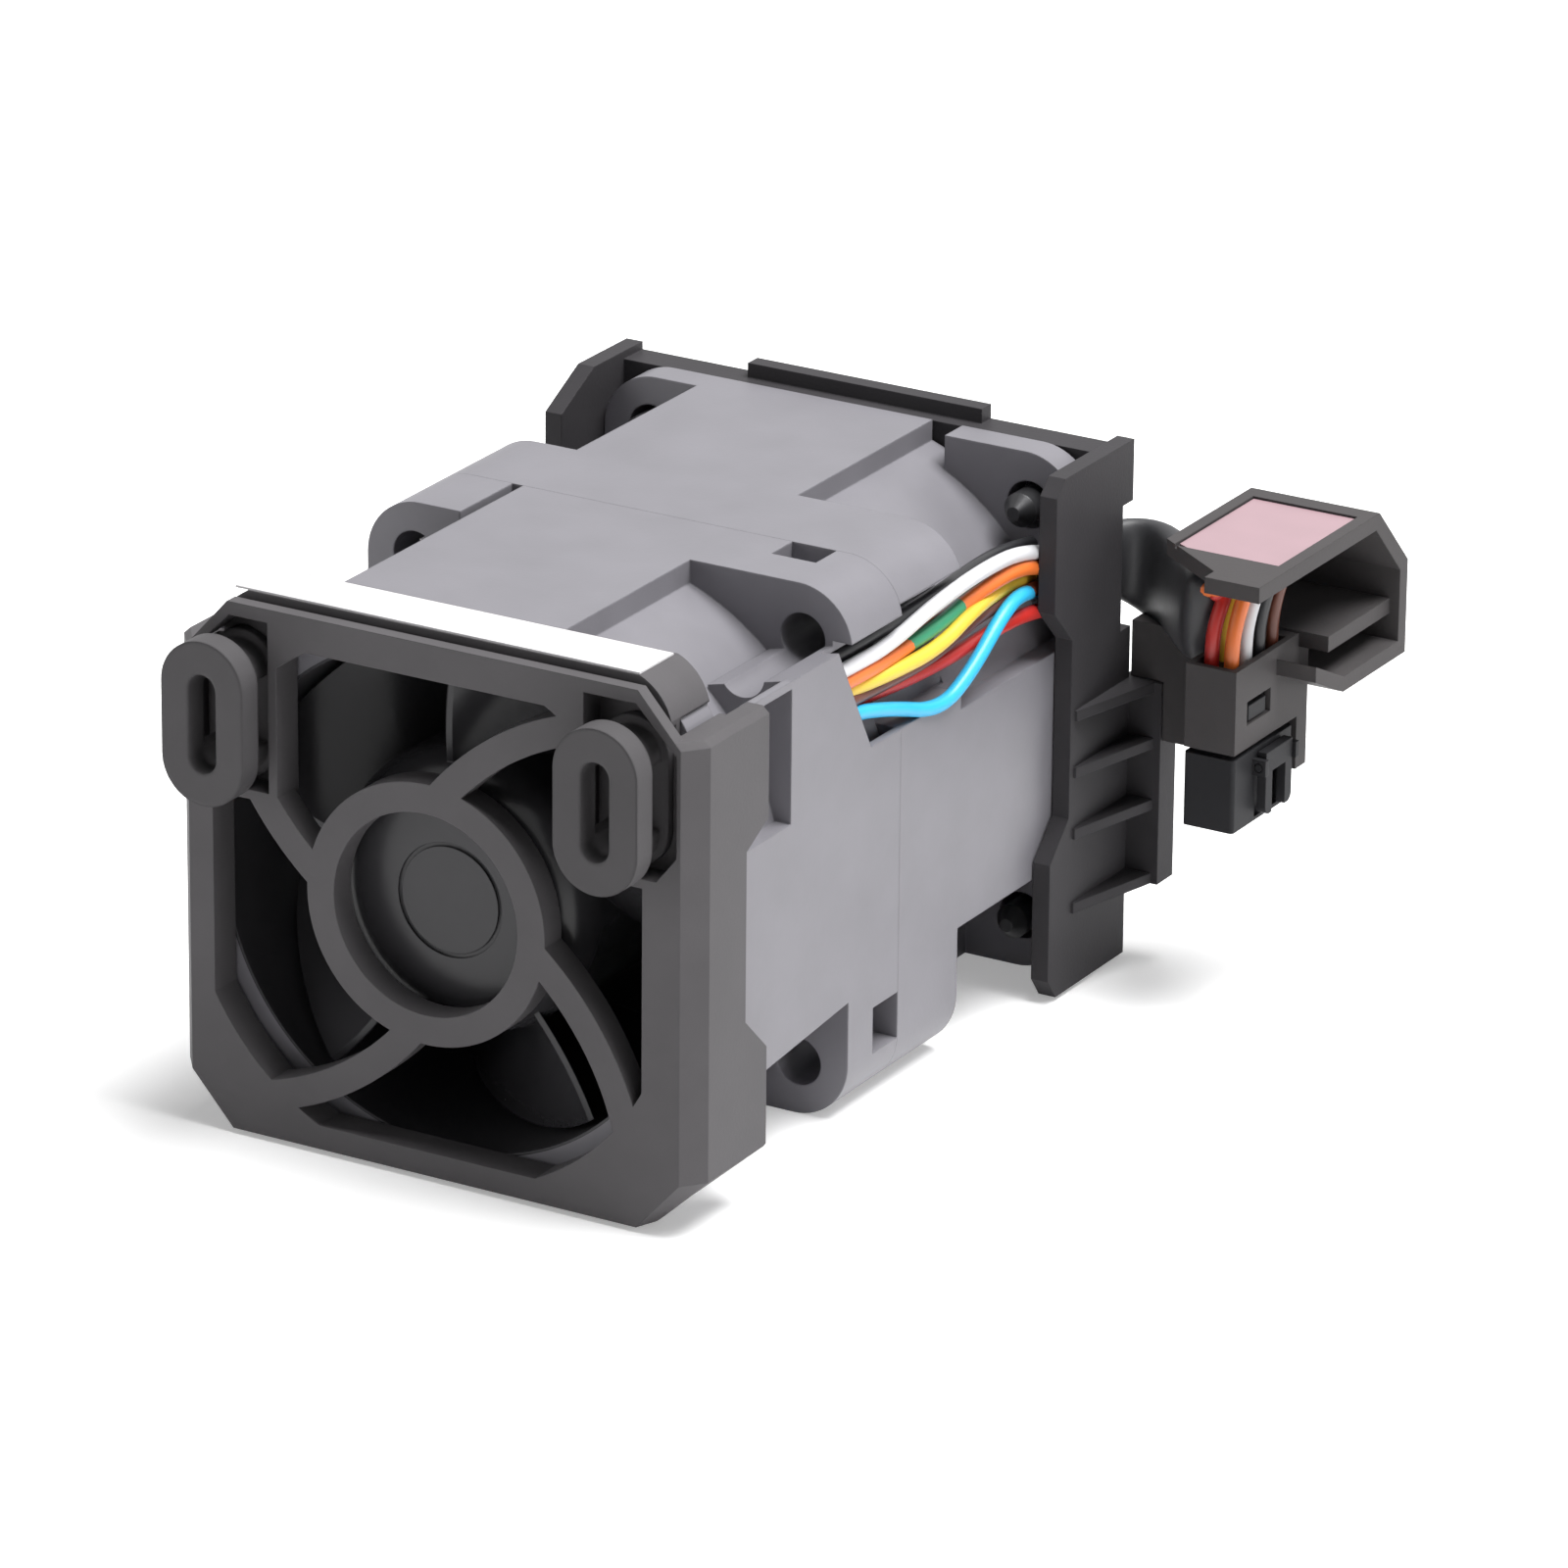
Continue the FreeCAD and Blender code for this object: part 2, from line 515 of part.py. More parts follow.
def stator_core():
    sleeve_r = BEARING_R + SLEEVE_T
    ring_r = sleeve_r + CORE_RING_T
    tip = shoe_radius()
    pieces = [rod_y(ring_r, CORE_FRONT, CORE_REAR)]
    shoe_ring = tube_y(tip, tip - SHOE_T, CORE_FRONT, CORE_REAR)
    reach = 2 * tip
    half = math.radians(SHOE_ANGLE / 2)
    wedge = prism_y([(0, AXIS_Z), (-reach * math.sin(half), AXIS_Z + reach * math.cos(half)),
                     (reach * math.sin(half), AXIS_Z + reach * math.cos(half))], CORE_FRONT, CORE_REAR)
    shoe = shoe_ring.common(wedge)
    pole = box(-POLE_W / 2, POLE_W / 2, CORE_FRONT, CORE_REAR, AXIS_Z, AXIS_Z + tip - SHOE_T / 2)
    for number in range(POLE_COUNT):
        angle = 45 + number * 360.0 / POLE_COUNT
        pieces += [spun(shoe, angle), spun(pole, angle)]
    return fuse(pieces).cut(rod_y(sleeve_r + SEAT, CORE_FRONT - 1, CORE_REAR + 1))


def windings():
    """One coil round each pole, rounded like wound wire."""
    root = AXIS_Z + BEARING_R + SLEEVE_T + CORE_RING_T + SEAT
    tip = AXIS_Z + shoe_radius() - SHOE_T - FIT
    inner_w = POLE_W / 2 + SEAT
    outer_w = POLE_W / 2 + COIL_W
    coil = box(-outer_w, outer_w, CORE_FRONT - COIL_END, CORE_REAR + COIL_END, root, tip)
    coil = fillet_edges_along(coil, V(0, 0, 1), COIL_W * 0.8)
    coil = coil.cut(box(-inner_w, inner_w, CORE_FRONT - SEAT, CORE_REAR + SEAT, root - 1, tip + 1))
    coil = coil.common(rod_y(tip - AXIS_Z, CORE_FRONT - COIL_END - 1, CORE_REAR + COIL_END + 1))
    coils = [spun(coil, 45 + number * 360.0 / POLE_COUNT) for number in range(POLE_COUNT)]
    return Part.makeCompound(coils)


def circuit_board():
    sleeve_r = BEARING_R + SLEEVE_T
    board = tube_y(BOARD_R, sleeve_r + FIT, BASE_FRONT - BOARD_T, BASE_FRONT)
    chip_y = BASE_FRONT - BOARD_T
    chip = box(-1.6, 1.6, chip_y - 0.4, chip_y, AXIS_Z + 5.0, AXIS_Z + 8.0)
    return fuse([board, chip])


def impeller_hub():
    face = -HALF_LENGTH + HUB_SETBACK
    outline = [V(0, face, AXIS_Z), V(HUB_R - HUB_ROUND, face, AXIS_Z), V(HUB_R, face + HUB_ROUND, AXIS_Z),
               V(HUB_R, HUB_OPEN_Y, AXIS_Z), V(HUB_R - HUB_WALL, HUB_OPEN_Y, AXIS_Z),
               V(HUB_R - HUB_WALL, face + HUB_FACE_T + 1.2, AXIS_Z),
               V(HUB_R - HUB_WALL - 1.2, face + HUB_FACE_T, AXIS_Z), V(0, face + HUB_FACE_T, AXIS_Z)]
    centre = V(HUB_R - HUB_ROUND, face + HUB_ROUND, AXIS_Z)
    bulge = centre + V(math.sqrt(0.5), -math.sqrt(0.5), 0) * HUB_ROUND
    edges = [Part.makeLine(outline[0], outline[1]), Part.Arc(outline[1], bulge, outline[2]).toShape()]
    edges += [Part.makeLine(a, b) for a, b in zip(outline[2:], outline[3:] + outline[:1])]
    shell = Part.Face(Part.Wire(edges)).revolve(V(0, 0, AXIS_Z), V(0, 1, 0), 360)
    groove = tube_y(4.25, 3.95, face - 1, face + 0.2)
    boss = rod_y(BOSS_R, face + HUB_FACE_T, FRONT_BEARING_Y - TRIM_CLEAR - WASHER_T)
    return shell.cut(groove).fuse(boss)


def blade(chord_angle, root_share):
    """Forward-swept blade: three curved sections from the hub out to the tip."""
    tip_r = BORE_R - BLADE_TIP_GAP
    sections = []
    for radius, sweep in ((HUB_R - 0.9 * HUB_WALL, 0.0), ((HUB_R + tip_r) / 2, 5.0), (tip_r + 1, 12.0)):
        wrap = chord_angle * (root_share + (1 - root_share) * (radius - HUB_R) / (tip_r - HUB_R))
        upper, lower = [], []
        for share in (0.0, 0.35, 0.7, 1.0):
            y = BLADE_FRONT + share * (BLADE_REAR - BLADE_FRONT)
            curve = share + 0.16 * math.sin(math.pi * share)
            angle = math.radians(sweep + wrap * (curve - 0.5))
            thick = (BLADE_T / 2) * (0.35 + 0.65 * math.sin(math.pi * (0.12 + 0.76 * share)))
            for side, row in ((1, upper), (-1, lower)):
                turn = angle + side * thick / radius
                row.append(V(radius * math.sin(turn), y, AXIS_Z + radius * math.cos(turn)))
        top, bottom = Part.BSplineCurve(), Part.BSplineCurve()
        top.interpolate(upper)
        bottom.interpolate(lower[::-1])
        wire = Part.Wire([top.toShape(), Part.makeLine(upper[-1], lower[-1]),
                          bottom.toShape(), Part.makeLine(lower[0], upper[0])])
        sections.append(wire)
    solid = Part.makeLoft(sections, True, False)
    return solid.common(rod_y(tip_r, BLADE_FRONT - 1, BLADE_REAR + 1))


def impeller(count, chord_angle, phase):
    pieces = [impeller_hub()]
    one = blade(chord_angle, 0.8)
    for number in range(count):
        pieces.append(spun(one, phase + number * 360.0 / count))
    hub_room = rod_y(HUB_R - HUB_WALL, -HALF_LENGTH + HUB_SETBACK + HUB_FACE_T + 1.2, HUB_OPEN_Y + 1)
    boss = rod_y(BOSS_R, -HALF_LENGTH + HUB_SETBACK + HUB_FACE_T, FRONT_BEARING_Y - TRIM_CLEAR - WASHER_T)
    body = pieces[0].fuse(pieces[1:]).cut(hub_room.cut(boss))
    bore = rod_y(SHAFT_R, -HALF_LENGTH + HUB_SETBACK + HUB_FACE_T, 0)
    return body.cut(bore).removeSplitter()


def rotor_yoke():
    outer = HUB_R - HUB_WALL - SEAT
    back = -HALF_LENGTH + HUB_SETBACK + HUB_FACE_T + SEAT
    rear = HUB_OPEN_Y - TRIM_CLEAR
    return revolve_y([(BOSS_R + FIT, back), (outer - 1.2, back), (outer, back + 1.2), (outer, rear),
                      (outer - YOKE_T, rear), (outer - YOKE_T, back + 1.4), (outer - 1.4, back + YOKE_T),
                      (BOSS_R + FIT, back + YOKE_T)])


def rotor_magnet():
    outer = HUB_R - HUB_WALL - YOKE_T - 2 * SEAT
    return tube_y(outer, outer - MAGNET_T, MAGNET_FRONT, MAGNET_REAR)


def rotor_shaft():
    shaft = rod_y(SHAFT_R, -HALF_LENGTH + HUB_SETBACK + HUB_FACE_T, SHAFT_END)
    neck_y = BACK_BEARING_Y + BEARING_W + TRIM_CLEAR
    return shaft.cut(tube_y(SHAFT_R + 1, SHAFT_R - 0.2, neck_y, neck_y + CLIP_T))


def preload_washer():
    rear = FRONT_BEARING_Y - TRIM_CLEAR
    return tube_y(BOSS_R, SHAFT_R + SEAT, rear - WASHER_T, rear)


def shaft_clip():
    """Open retaining ring in the groove at the end of the shaft."""
    front = BACK_BEARING_Y + BEARING_W + TRIM_CLEAR
    ring = tube_y(CLIP_R, SHAFT_R - 0.2 + SEAT, front, front + CLIP_T)
    return ring.cut(box(-0.6, 0.6, front - 1, front + 1, AXIS_Z - CLIP_R - 1, AXIS_Z))


# ---- bezel ------------------------------------------------------------------------------
def bezel_outline(grow, top_grow, bottom=BEZEL_BOTTOM):
    half = BEZEL_FACE_W / 2 + grow
    high = BEZEL_TOP + top_grow
    left, right = BEZEL_SHIFT - half, BEZEL_SHIFT + half
    cut_x, cut_z = BEZEL_CHAMFER_X + grow / 2, BEZEL_CHAMFER_Z + top_grow / 2
    return [(left + cut_x, bottom), (right - cut_x, bottom), (right, bottom + cut_z), (right, high - cut_z),
            (right - cut_x, high), (left + cut_x, high), (left, high - cut_z), (left, bottom + cut_z)]


def bezel_shell():
    """Front lip, the raised top wall behind its groove, and the bevelled side walls."""
    lip_y = BEZEL_FRONT + BEZEL_LIP
    top_y = lip_y + GROOVE_W
    wall_y = BEZEL_FRONT + BEZEL_BEVEL_D
    lip = prism_y(bezel_outline(0, 0), BEZEL_FRONT, lip_y)
    foot = prism_y(bezel_outline(-GROOVE_D, -GROOVE_D), lip_y, top_y)
    front = [V(x, BEZEL_FRONT, z) for x, z in bezel_outline(0, 0)]
    back = [V(x, wall_y, z) for x, z in bezel_outline(BEZEL_BEVEL, 0)]
    bevel = Part.makeLoft([Part.makePolygon(front + front[:1]), Part.makePolygon(back + back[:1])], True, True)
    walls = bevel.fuse(prism_y(bezel_outline(BEZEL_BEVEL, 0), wall_y, BEZEL_DEEP_Y))
    walls = walls.common(box(-SIZE, SIZE, BEZEL_FRONT - 1, 0, 0, BEZEL_WALL_TOP))
    return fuse([lip, foot, walls, top_wall(top_y)])


def top_wall(front):
    """Raised land for the label, curving down at its ends."""
    high = BEZEL_TOP + LAND_RISE
    left, right = [BEZEL_SHIFT + side * (BEZEL_FACE_W / 2 - BEZEL_CHAMFER_X) for side in (-1, 1)]
    drop_x, drop_z = BEZEL_CHAMFER_X - 0.9, BEZEL_CHAMFER_Z - 0.9
    ends = []
    for side, x in ((1, right - 0.8), (-1, left + 0.8)):
        shoulder = V(x, front, high)
        bulge = V(x + side * 0.66 * drop_x, front, high - 0.42 * drop_z)
        ends.append((shoulder, bulge, V(x + side * drop_x, front, high - drop_z)))
    (right_top, right_bulge, right_low), (left_top, left_bulge, left_low) = ends
    base = BEZEL_WALL_TOP - 2
    corners = [right_low, V(right_low.x, front, base), V(left_low.x, front, base), left_low]
    edges = [Part.makeLine(left_top, right_top), Part.Arc(right_top, right_bulge, right_low).toShape()]
    edges += [Part.makeLine(a, b) for a, b in zip(corners, corners[1:])]
    edges.append(Part.Arc(left_low, left_bulge, left_top).toShape())
    return Part.Face(Part.Wire(edges)).extrude(V(0, BEZEL_TOP_REAR - front, 0))


def opening_cut():
    square = box(-OPENING_HALF, OPENING_HALF, BEZEL_FRONT - 1, -HALF_LENGTH + 1, OPENING_LOW, OPENING_HIGH)
    return square.common(rod_y(OPENING_R, BEZEL_FRONT - 1, -HALF_LENGTH + 1))


def grille(front, back):
    """Centre ring and four arms that swirl out to the frame's corners."""
    ring = tube_y(RING_OUT, RING_IN, front, back)
    middle_r = (RING_OUT + RING_IN) / 2
    points = []
    for share in (0.0, 0.33, 0.66, 1.0):
        radius = middle_r + (ARM_END_R + 1 - middle_r) * share ** 1.25
        angle = math.radians(ARM_START + (ARM_END - ARM_START) * share)
        points.append(V(radius * math.cos(angle), front, AXIS_Z + radius * math.sin(angle)))
    spine = Part.BSplineCurve()
    spine.interpolate(points)
    sides = []
    for sign in (1, -1):
        row = []
        for step in range(5):
            at = spine.FirstParameter + (spine.LastParameter - spine.FirstParameter) * step / 4
            along = spine.tangent(at)[0]
            row.append(spine.value(at) + V(-along.z, 0, along.x) * (sign * ARM_W / 2))
        sides.append(row)
    left, right = Part.BSplineCurve(), Part.BSplineCurve()
    left.interpolate(sides[0])
    right.interpolate(sides[1][::-1])
    wire = Part.Wire([left.toShape(), Part.makeLine(sides[0][-1], sides[1][-1]),
                      right.toShape(), Part.makeLine(sides[1][0], sides[0][0])])
    arm = Part.Face(wire).extrude(V(0, back - front, 0))
    arms = [spun(arm, number * 90.0) for number in range(4)]
    inside = rod_y(ARM_END_R + 1, front, back)
    whole = fuse([ring] + [piece.common(inside) for piece in arms])
    return whole.cut(rod_y(RING_IN, front - 1, back + 1))


def isolator_places():
    return ((-1, -LOOP_X), (1, LOOP_X))


def pocket_floor():
    return -HALF_LENGTH - TRIM_CLEAR - POCKET_FLOOR


def pocket_cut(side, x):
    """Deep pocket behind one isolator, following the face's upper corner."""
    edge = BEZEL_SHIFT * side + BEZEL_FACE_W / 2 - POCKET_EDGE
    low = LOOP_Z - POCKET_LOW
    inner = side * x - POCKET_IN
    corner = [(inner, low), (edge - POCKET_CUT_X, low), (edge, low + POCKET_CUT_Z), (edge, SIZE), (inner, SIZE)]
    block = prism_y([(side * px, pz) for px, pz in corner], BEZEL_FRONT - 1, pocket_floor())
    return block.common(prism_y(bezel_outline(-POCKET_EDGE, -POCKET_TOP), BEZEL_FRONT - 2, 0))


def bezel_rear_steps():
    """Shallow middle stretch of the side walls, with slanted steps."""
    return prism_x([(BEZEL_MID_Y, BEZEL_MID_LOW + BEZEL_STEP), (BEZEL_DEEP_Y, BEZEL_MID_LOW - BEZEL_STEP),
                    (0, BEZEL_MID_LOW - BEZEL_STEP), (0, BEZEL_MID_HIGH + BEZEL_STEP_HIGH),
                    (BEZEL_DEEP_Y, BEZEL_MID_HIGH + BEZEL_STEP_HIGH), (BEZEL_MID_Y, BEZEL_MID_HIGH - BEZEL_STEP_HIGH)],
                   -SIZE, SIZE)


def bezel_rooms():
    """Space for the fan's inlet flange and flats, open at the bottom and behind the top wall."""
    plate_back = pocket_floor() + POCKET_FLOOR
    half = SIZE / 2 + FIT
    fan_room = rounded_block(half, -SIZE, SIZE - INLET_TRIM + FIT, plate_back, 0, INLET_CORNER_R)
    behind_top = box(-half, half, BEZEL_TOP_REAR, 0, AXIS_Z, SIZE + 3)
    low = prism_x([(plate_back + 1.2, -1), (plate_back + 1.2, BEZEL_LOW_FRONT), (BEZEL_LOW_Y, BEZEL_LOW_FRONT),
                   (BEZEL_DEEP_Y, BEZEL_LOW_REAR), (1, BEZEL_LOW_REAR), (1, -1)], -SIZE, SIZE)
    slot_x = BEZEL_SHIFT + BEZEL_FACE_W / 2 - 1.7
    slot = box(slot_x, slot_x + BEZEL_SLOT_W, BEZEL_FRONT + BEZEL_LIP + GROOVE_W, 0,
               BEZEL_WALL_TOP - BEZEL_SLOT_D, SIZE + 3)
    return [fan_room, behind_top, low, slot]


def front_bezel():
    frame = bezel_shell().cut(bezel_rooms() + [bezel_rear_steps()])
    window = opening_cut()
    for side, x in isolator_places():
        reach = POCKET_IN + POCKET_RIM
        inner, outer = sorted((x - side * reach, side * SIZE))
        window = window.cut(box(inner, outer, BEZEL_FRONT - 2, 0, LOOP_Z - POCKET_LOW - POCKET_RIM, SIZE))
    frame = frame.cut(window)
    bars = grille(BEZEL_FRONT, BEZEL_FRONT + GRILLE_T)
    bars = bars.common(opening_cut().fuse(rod_y(RING_OUT, BEZEL_FRONT - 1, 0)))
    whole = fuse([frame, bars])
    for side, x in isolator_places():
        stem_x = side * HOLE_PITCH / 2
        stem_hole = rod_y(STEM_R + FIT, BEZEL_FRONT - 1, -HALF_LENGTH + 1, stem_x, AXIS_Z + HOLE_PITCH / 2)
        whole = whole.cut([pocket_cut(side, x), stem_hole])
    return whole


def isolator(x):
    """Rubber loop on a hollow neck, with a foot on the pocket's floor and a stem into the fan's hole."""
    loop_back = LOOP_FRONT + LOOP_T
    loop = stadium_y(x, LOOP_Z, LOOP_W, LOOP_H, LOOP_FRONT, loop_back)
    loop = loop.cut(stadium_y(x, LOOP_Z, LOOP_SLOT_W, LOOP_SLOT_H, LOOP_FRONT - 1, loop_back + 1))
    foot_back = pocket_floor() - SEAT
    neck = stadium_y(x, LOOP_Z, LOOP_W - NECK_INSET, LOOP_H - NECK_INSET, loop_back, foot_back - PAD_T)
    neck = neck.cut(stadium_y(x, LOOP_Z, LOOP_SLOT_W, LOOP_SLOT_H, loop_back - 1, foot_back))
    neck = neck.cut(box(x - LOOP_W, x + LOOP_W, loop_back, foot_back - PAD_T,
                        LOOP_Z - NECK_GAP / 2, LOOP_Z + NECK_GAP / 2))
    foot = stadium_y(x, LOOP_Z, LOOP_W - NECK_INSET / 2, LOOP_H - NECK_INSET / 2, foot_back - PAD_T, foot_back)
    stem_x = math.copysign(HOLE_PITCH / 2, x)
    hole_z = AXIS_Z + HOLE_PITCH / 2
    stem = rod_y(STEM_R, foot_back - PAD_T / 2, -HALF_LENGTH + STEM_LEN, stem_x, hole_z)
    barb_y = -HALF_LENGTH + EAR_PLATE + FIT
    barb = Part.makeCone(STEM_R + 0.6, STEM_R - 0.4, 2.6, V(stem_x, barb_y, hole_z), V(0, 1, 0))
    return fuse([loop, neck, foot, stem, barb])


def bezel_label():
    land = BEZEL_TOP + LAND_RISE
    return box(-LABEL_HALF, LABEL_HALF - TRIM_CLEAR, LABEL_FRONT, LABEL_REAR, land, land + LABEL_T)


# ---- rear bracket -----------------------------------------------------------------------
def bracket_side(sign):
    """Side wall; the right one has a small upper corner cut and a set-back middle stretch."""
    outline = [(BRACKET_FRONT, BRACKET_LOW + 1.6), (BRACKET_FRONT + 1.2, BRACKET_LOW), (BRACKET_REAR, BRACKET_LOW)]
    if sign > 0:
        middle = BRACKET_FRONT + BRACKET_STEP_Y
        outline += [(BRACKET_REAR, BRACKET_TOP), (BRACKET_FRONT + BRACKET_NIP, BRACKET_TOP),
                    (BRACKET_FRONT, BRACKET_TOP - BRACKET_NIP), (BRACKET_FRONT, BRACKET_STEP_HIGH + BRACKET_STEP_Z),
                    (middle, BRACKET_STEP_HIGH - BRACKET_STEP_Z), (middle, BRACKET_STEP_LOW + BRACKET_STEP_Z),
                    (BRACKET_FRONT, BRACKET_STEP_LOW - BRACKET_STEP_Z)]
    else:
        outline += [(BRACKET_REAR, BRACKET_TOP), (BRACKET_FRONT + BRACKET_CHAMFER_Y, BRACKET_TOP),
                    (BRACKET_FRONT, BRACKET_TOP - BRACKET_CHAMFER_Z)]
    inner, outer = sorted((sign * (SIZE / 2 + FIT), sign * (SIZE / 2 + FIT + BRACKET_WALL)))
    return prism_x(outline, inner, outer)


def rear_bracket():
    outer = SIZE / 2 + FIT + BRACKET_WALL
    plate = box(-outer, outer, BRACKET_PLATE_Y, BRACKET_REAR, BRACKET_LOW, BRACKET_TOP - 0.6)
    ledge = box(-LEDGE_HALF, LEDGE_HALF - 0.6, BRACKET_REAR - LEDGE_T, BRACKET_REAR, BRACKET_TOP - 1, LEDGE_TOP)
    ribs = []
    for z in RIB_HEIGHTS:
        wedge = [(outer - 0.5, RIB_FRONT), (outer + 0.2, RIB_FRONT), (outer + RIB_OUT, RIB_REAR), (outer - 0.5, RIB_REAR)]
        ribs.append(prism_z(wedge, z - RIB_T / 2, z + RIB_T / 2))
    fin = box(outer - 0.5, outer + RIB_OUT, BRACKET_REAR, RIB_REAR, RIB_HEIGHTS[-1] - RIB_T / 2, RIB_HEIGHTS[0] + RIB_T / 2)
    body = fuse([plate, ledge, bracket_side(-1), bracket_side(1)] + ribs + [fin])
    body = body.cut(rod_y(BRACKET_OPENING_R, 0, BRACKET_REAR + 1))
    slot = box(BUNDLE_X - SLEEVE_W / 2 - TRIM_CLEAR, SIZE / 2 + FIT, BRACKET_PLATE_Y - 1, BRACKET_REAR + 1,
               BUNDLE_Z - SLEEVE_H / 2 - TRIM_CLEAR, BUNDLE_Z + SLEEVE_H / 2 + TRIM_CLEAR)
    notch = box(SIZE / 2 + FIT, outer + 1, BRACKET_REAR - EDGE_NOTCH_D, BRACKET_REAR + 1, EDGE_NOTCH_LOW,
                EDGE_NOTCH_HIGH)
    holes = [rod_y(SCREW_R + TRIM_CLEAR, BRACKET_PLATE_Y - 1, BRACKET_REAR + 1, x, z) for x, z in corner_places()]
    sinks = [rod_y(SCREW_HEAD_R + FIT, BRACKET_REAR - SCREW_HEAD_T, BRACKET_REAR + 1, x, z)
             for x, z in corner_places()]
    body = body.cut([slot, notch] + holes + sinks)
    return body.removeSplitter()


def rear_screws():
    """Four self-tapping screws through the rear plate and the outlet flange."""
    group = []
    for x, z in corner_places():
        seat = BRACKET_REAR - SCREW_HEAD_T
        head = rod_y(SCREW_HEAD_R, seat, BRACKET_REAR, x, z)
        head = head.cut(box(x - 1.5, x + 1.5, BRACKET_REAR - 0.5, BRACKET_REAR + 1, z - 0.25, z + 0.25))
        head = head.cut(box(x - 0.25, x + 0.25, BRACKET_REAR - 0.5, BRACKET_REAR + 1, z - 1.5, z + 1.5))
        shank = rod_y(SCREW_R, SCREW_TIP + 1, seat, x, z)
        tip = Part.makeCone(SCREW_R * 0.4, SCREW_R, 1, V(x, SCREW_TIP, z), V(0, 1, 0))
        group.append(fuse([head, shank, tip]))
    return Part.makeCompound(group)


# ---- connector carrier ------------------------------------------------------------------
def hood_profile(inset):
    w = inset
    return [(HOOD_FRONT, HOOD_TOP - w), (HOOD_SLOPE_Y - 0.4 * w, HOOD_TOP - w), (HOOD_REAR - w, HOOD_SLOPE_Z - 0.4 * w),
            (HOOD_REAR - w, HOOD_LOW + w)]


def connector_carrier():
    outer = hood_profile(0)
    inner = hood_profile(HOOD_WALL)
    band = outer + [(HOOD_LIP_FRONT, HOOD_LOW), (HOOD_SHELF_FRONT, HOOD_LOW + SHELF_STEP),
                    (HOOD_SHELF_FRONT, HOOD_LOW + SHELF_STEP + HOOD_WALL), (HOOD_LIP_FRONT, HOOD_LOW + HOOD_WALL)] + inner[::-1]
    shell = prism_x(band, HOOD_LEFT, HOOD_RIGHT)
    cut_x = HOOD_RIGHT - HOOD_CORNER_X
    corner_cut = prism_z([(HOOD_LEFT - 1, HOOD_FRONT - 1), (cut_x, HOOD_FRONT - 1),
                          (cut_x, HOOD_FRONT + HOOD_NOSE), (HOOD_LEFT - 1, HOOD_FRONT + HOOD_CORNER_Y)],
                         HOOD_TOP - 2 * HOOD_WALL, HOOD_TOP + 1)
    end_wall = prism_x([(ARM_PLATE_Y, HOOD_TOP)] + outer[1:] + [(HOOD_LIP_FRONT, HOOD_LOW), (ARM_PLATE_Y, HOOD_LOW + 0.5)],
                       HOOD_LEFT, HOOD_LEFT + HOOD_WALL)
    shelf = box(HOOD_LEFT, HOOD_RIGHT - 0.8, ARM_PLATE_Y, HOOD_REAR - HOOD_WALL / 2, HOOD_SHELF_Z - HOOD_WALL, HOOD_SHELF_Z)
    back = box(HOOD_LEFT, PLUG_RIGHT, ARM_PLATE_Y, ARM_PLATE_Y + ARM_PLATE_T, ARM_LOW, HOOD_SHELF_Z)
    arm = box(SIZE / 2 + FIT + BRACKET_WALL + 0.05, HOOD_LEFT + 1, ARM_PLATE_Y, ARM_PLATE_Y + ARM_PLATE_T, ARM_LOW, ARM_HIGH)
    arm = arm.cut(box(SIZE / 2, SIZE / 2 + FIT + BRACKET_WALL + RIB_OUT + 0.05, ARM_PLATE_Y - 1, RIB_REAR + 1,
                      ARM_LOW - 1, RIB_HEIGHTS[0] + RIB_T / 2 + 0.05))
    box_outer = box(PLUG_LEFT, PLUG_RIGHT, PLUG_FRONT, ARM_PLATE_Y + 0.1, PLUG_SPLIT, PLUG_TOP)
    inset = BOX_WALL
    box_inner = box(PLUG_LEFT + inset, PLUG_RIGHT - inset, PLUG_FRONT + inset, PLUG_REAR - inset, PLUG_SPLIT - 1, PLUG_TOP + 1)
    window = box(PLUG_RIGHT - inset - 0.5, PLUG_RIGHT + 1, WINDOW_FRONT, WINDOW_REAR, WINDOW_LOW, WINDOW_HIGH)
    body = fuse([shell, end_wall, shelf, back, arm, box_outer]).cut([box_inner, window, corner_cut])
    recess = box(HOOD_LEFT + STICKER_MARGIN, HOOD_RIGHT - STICKER_MARGIN, STICKER_FRONT, HOOD_SLOPE_Y - STICKER_MARGIN - 0.6,
                 HOOD_TOP - STICKER_RECESS, HOOD_TOP + 1)
    return body.cut(recess)


def carrier_label():
    inset = STICKER_MARGIN + FIT
    label = box(HOOD_LEFT + inset, HOOD_RIGHT - inset, STICKER_FRONT + FIT, HOOD_SLOPE_Y - STICKER_MARGIN - 0.6 - FIT,
                HOOD_TOP - STICKER_RECESS, HOOD_TOP - STICKER_RECESS + 0.15)
    corner = prism_z([(HOOD_LEFT - 1, HOOD_FRONT), (HOOD_LEFT + HOOD_CORNER_X - STICKER_MARGIN, HOOD_FRONT + HOOD_CORNER_X),
                      (HOOD_LEFT - 1, HOOD_FRONT + HOOD_CORNER_Y + TRIM_CLEAR)], HOOD_TOP - 2, HOOD_TOP + 1)
    return label.cut(corner)


def pin_places():
    middle_x = (PLUG_LEFT + PLUG_RIGHT) / 2
    middle_y = (PLUG_FRONT + PLUG_REAR) / 2
    places = []
    for column in range(PIN_COUNT):
        for row in (-1, 1):
            places.append((middle_x + row * PIN_ROW / 2, middle_y + (column - (PIN_COUNT - 1) / 2) * PIN_PITCH))
    return places


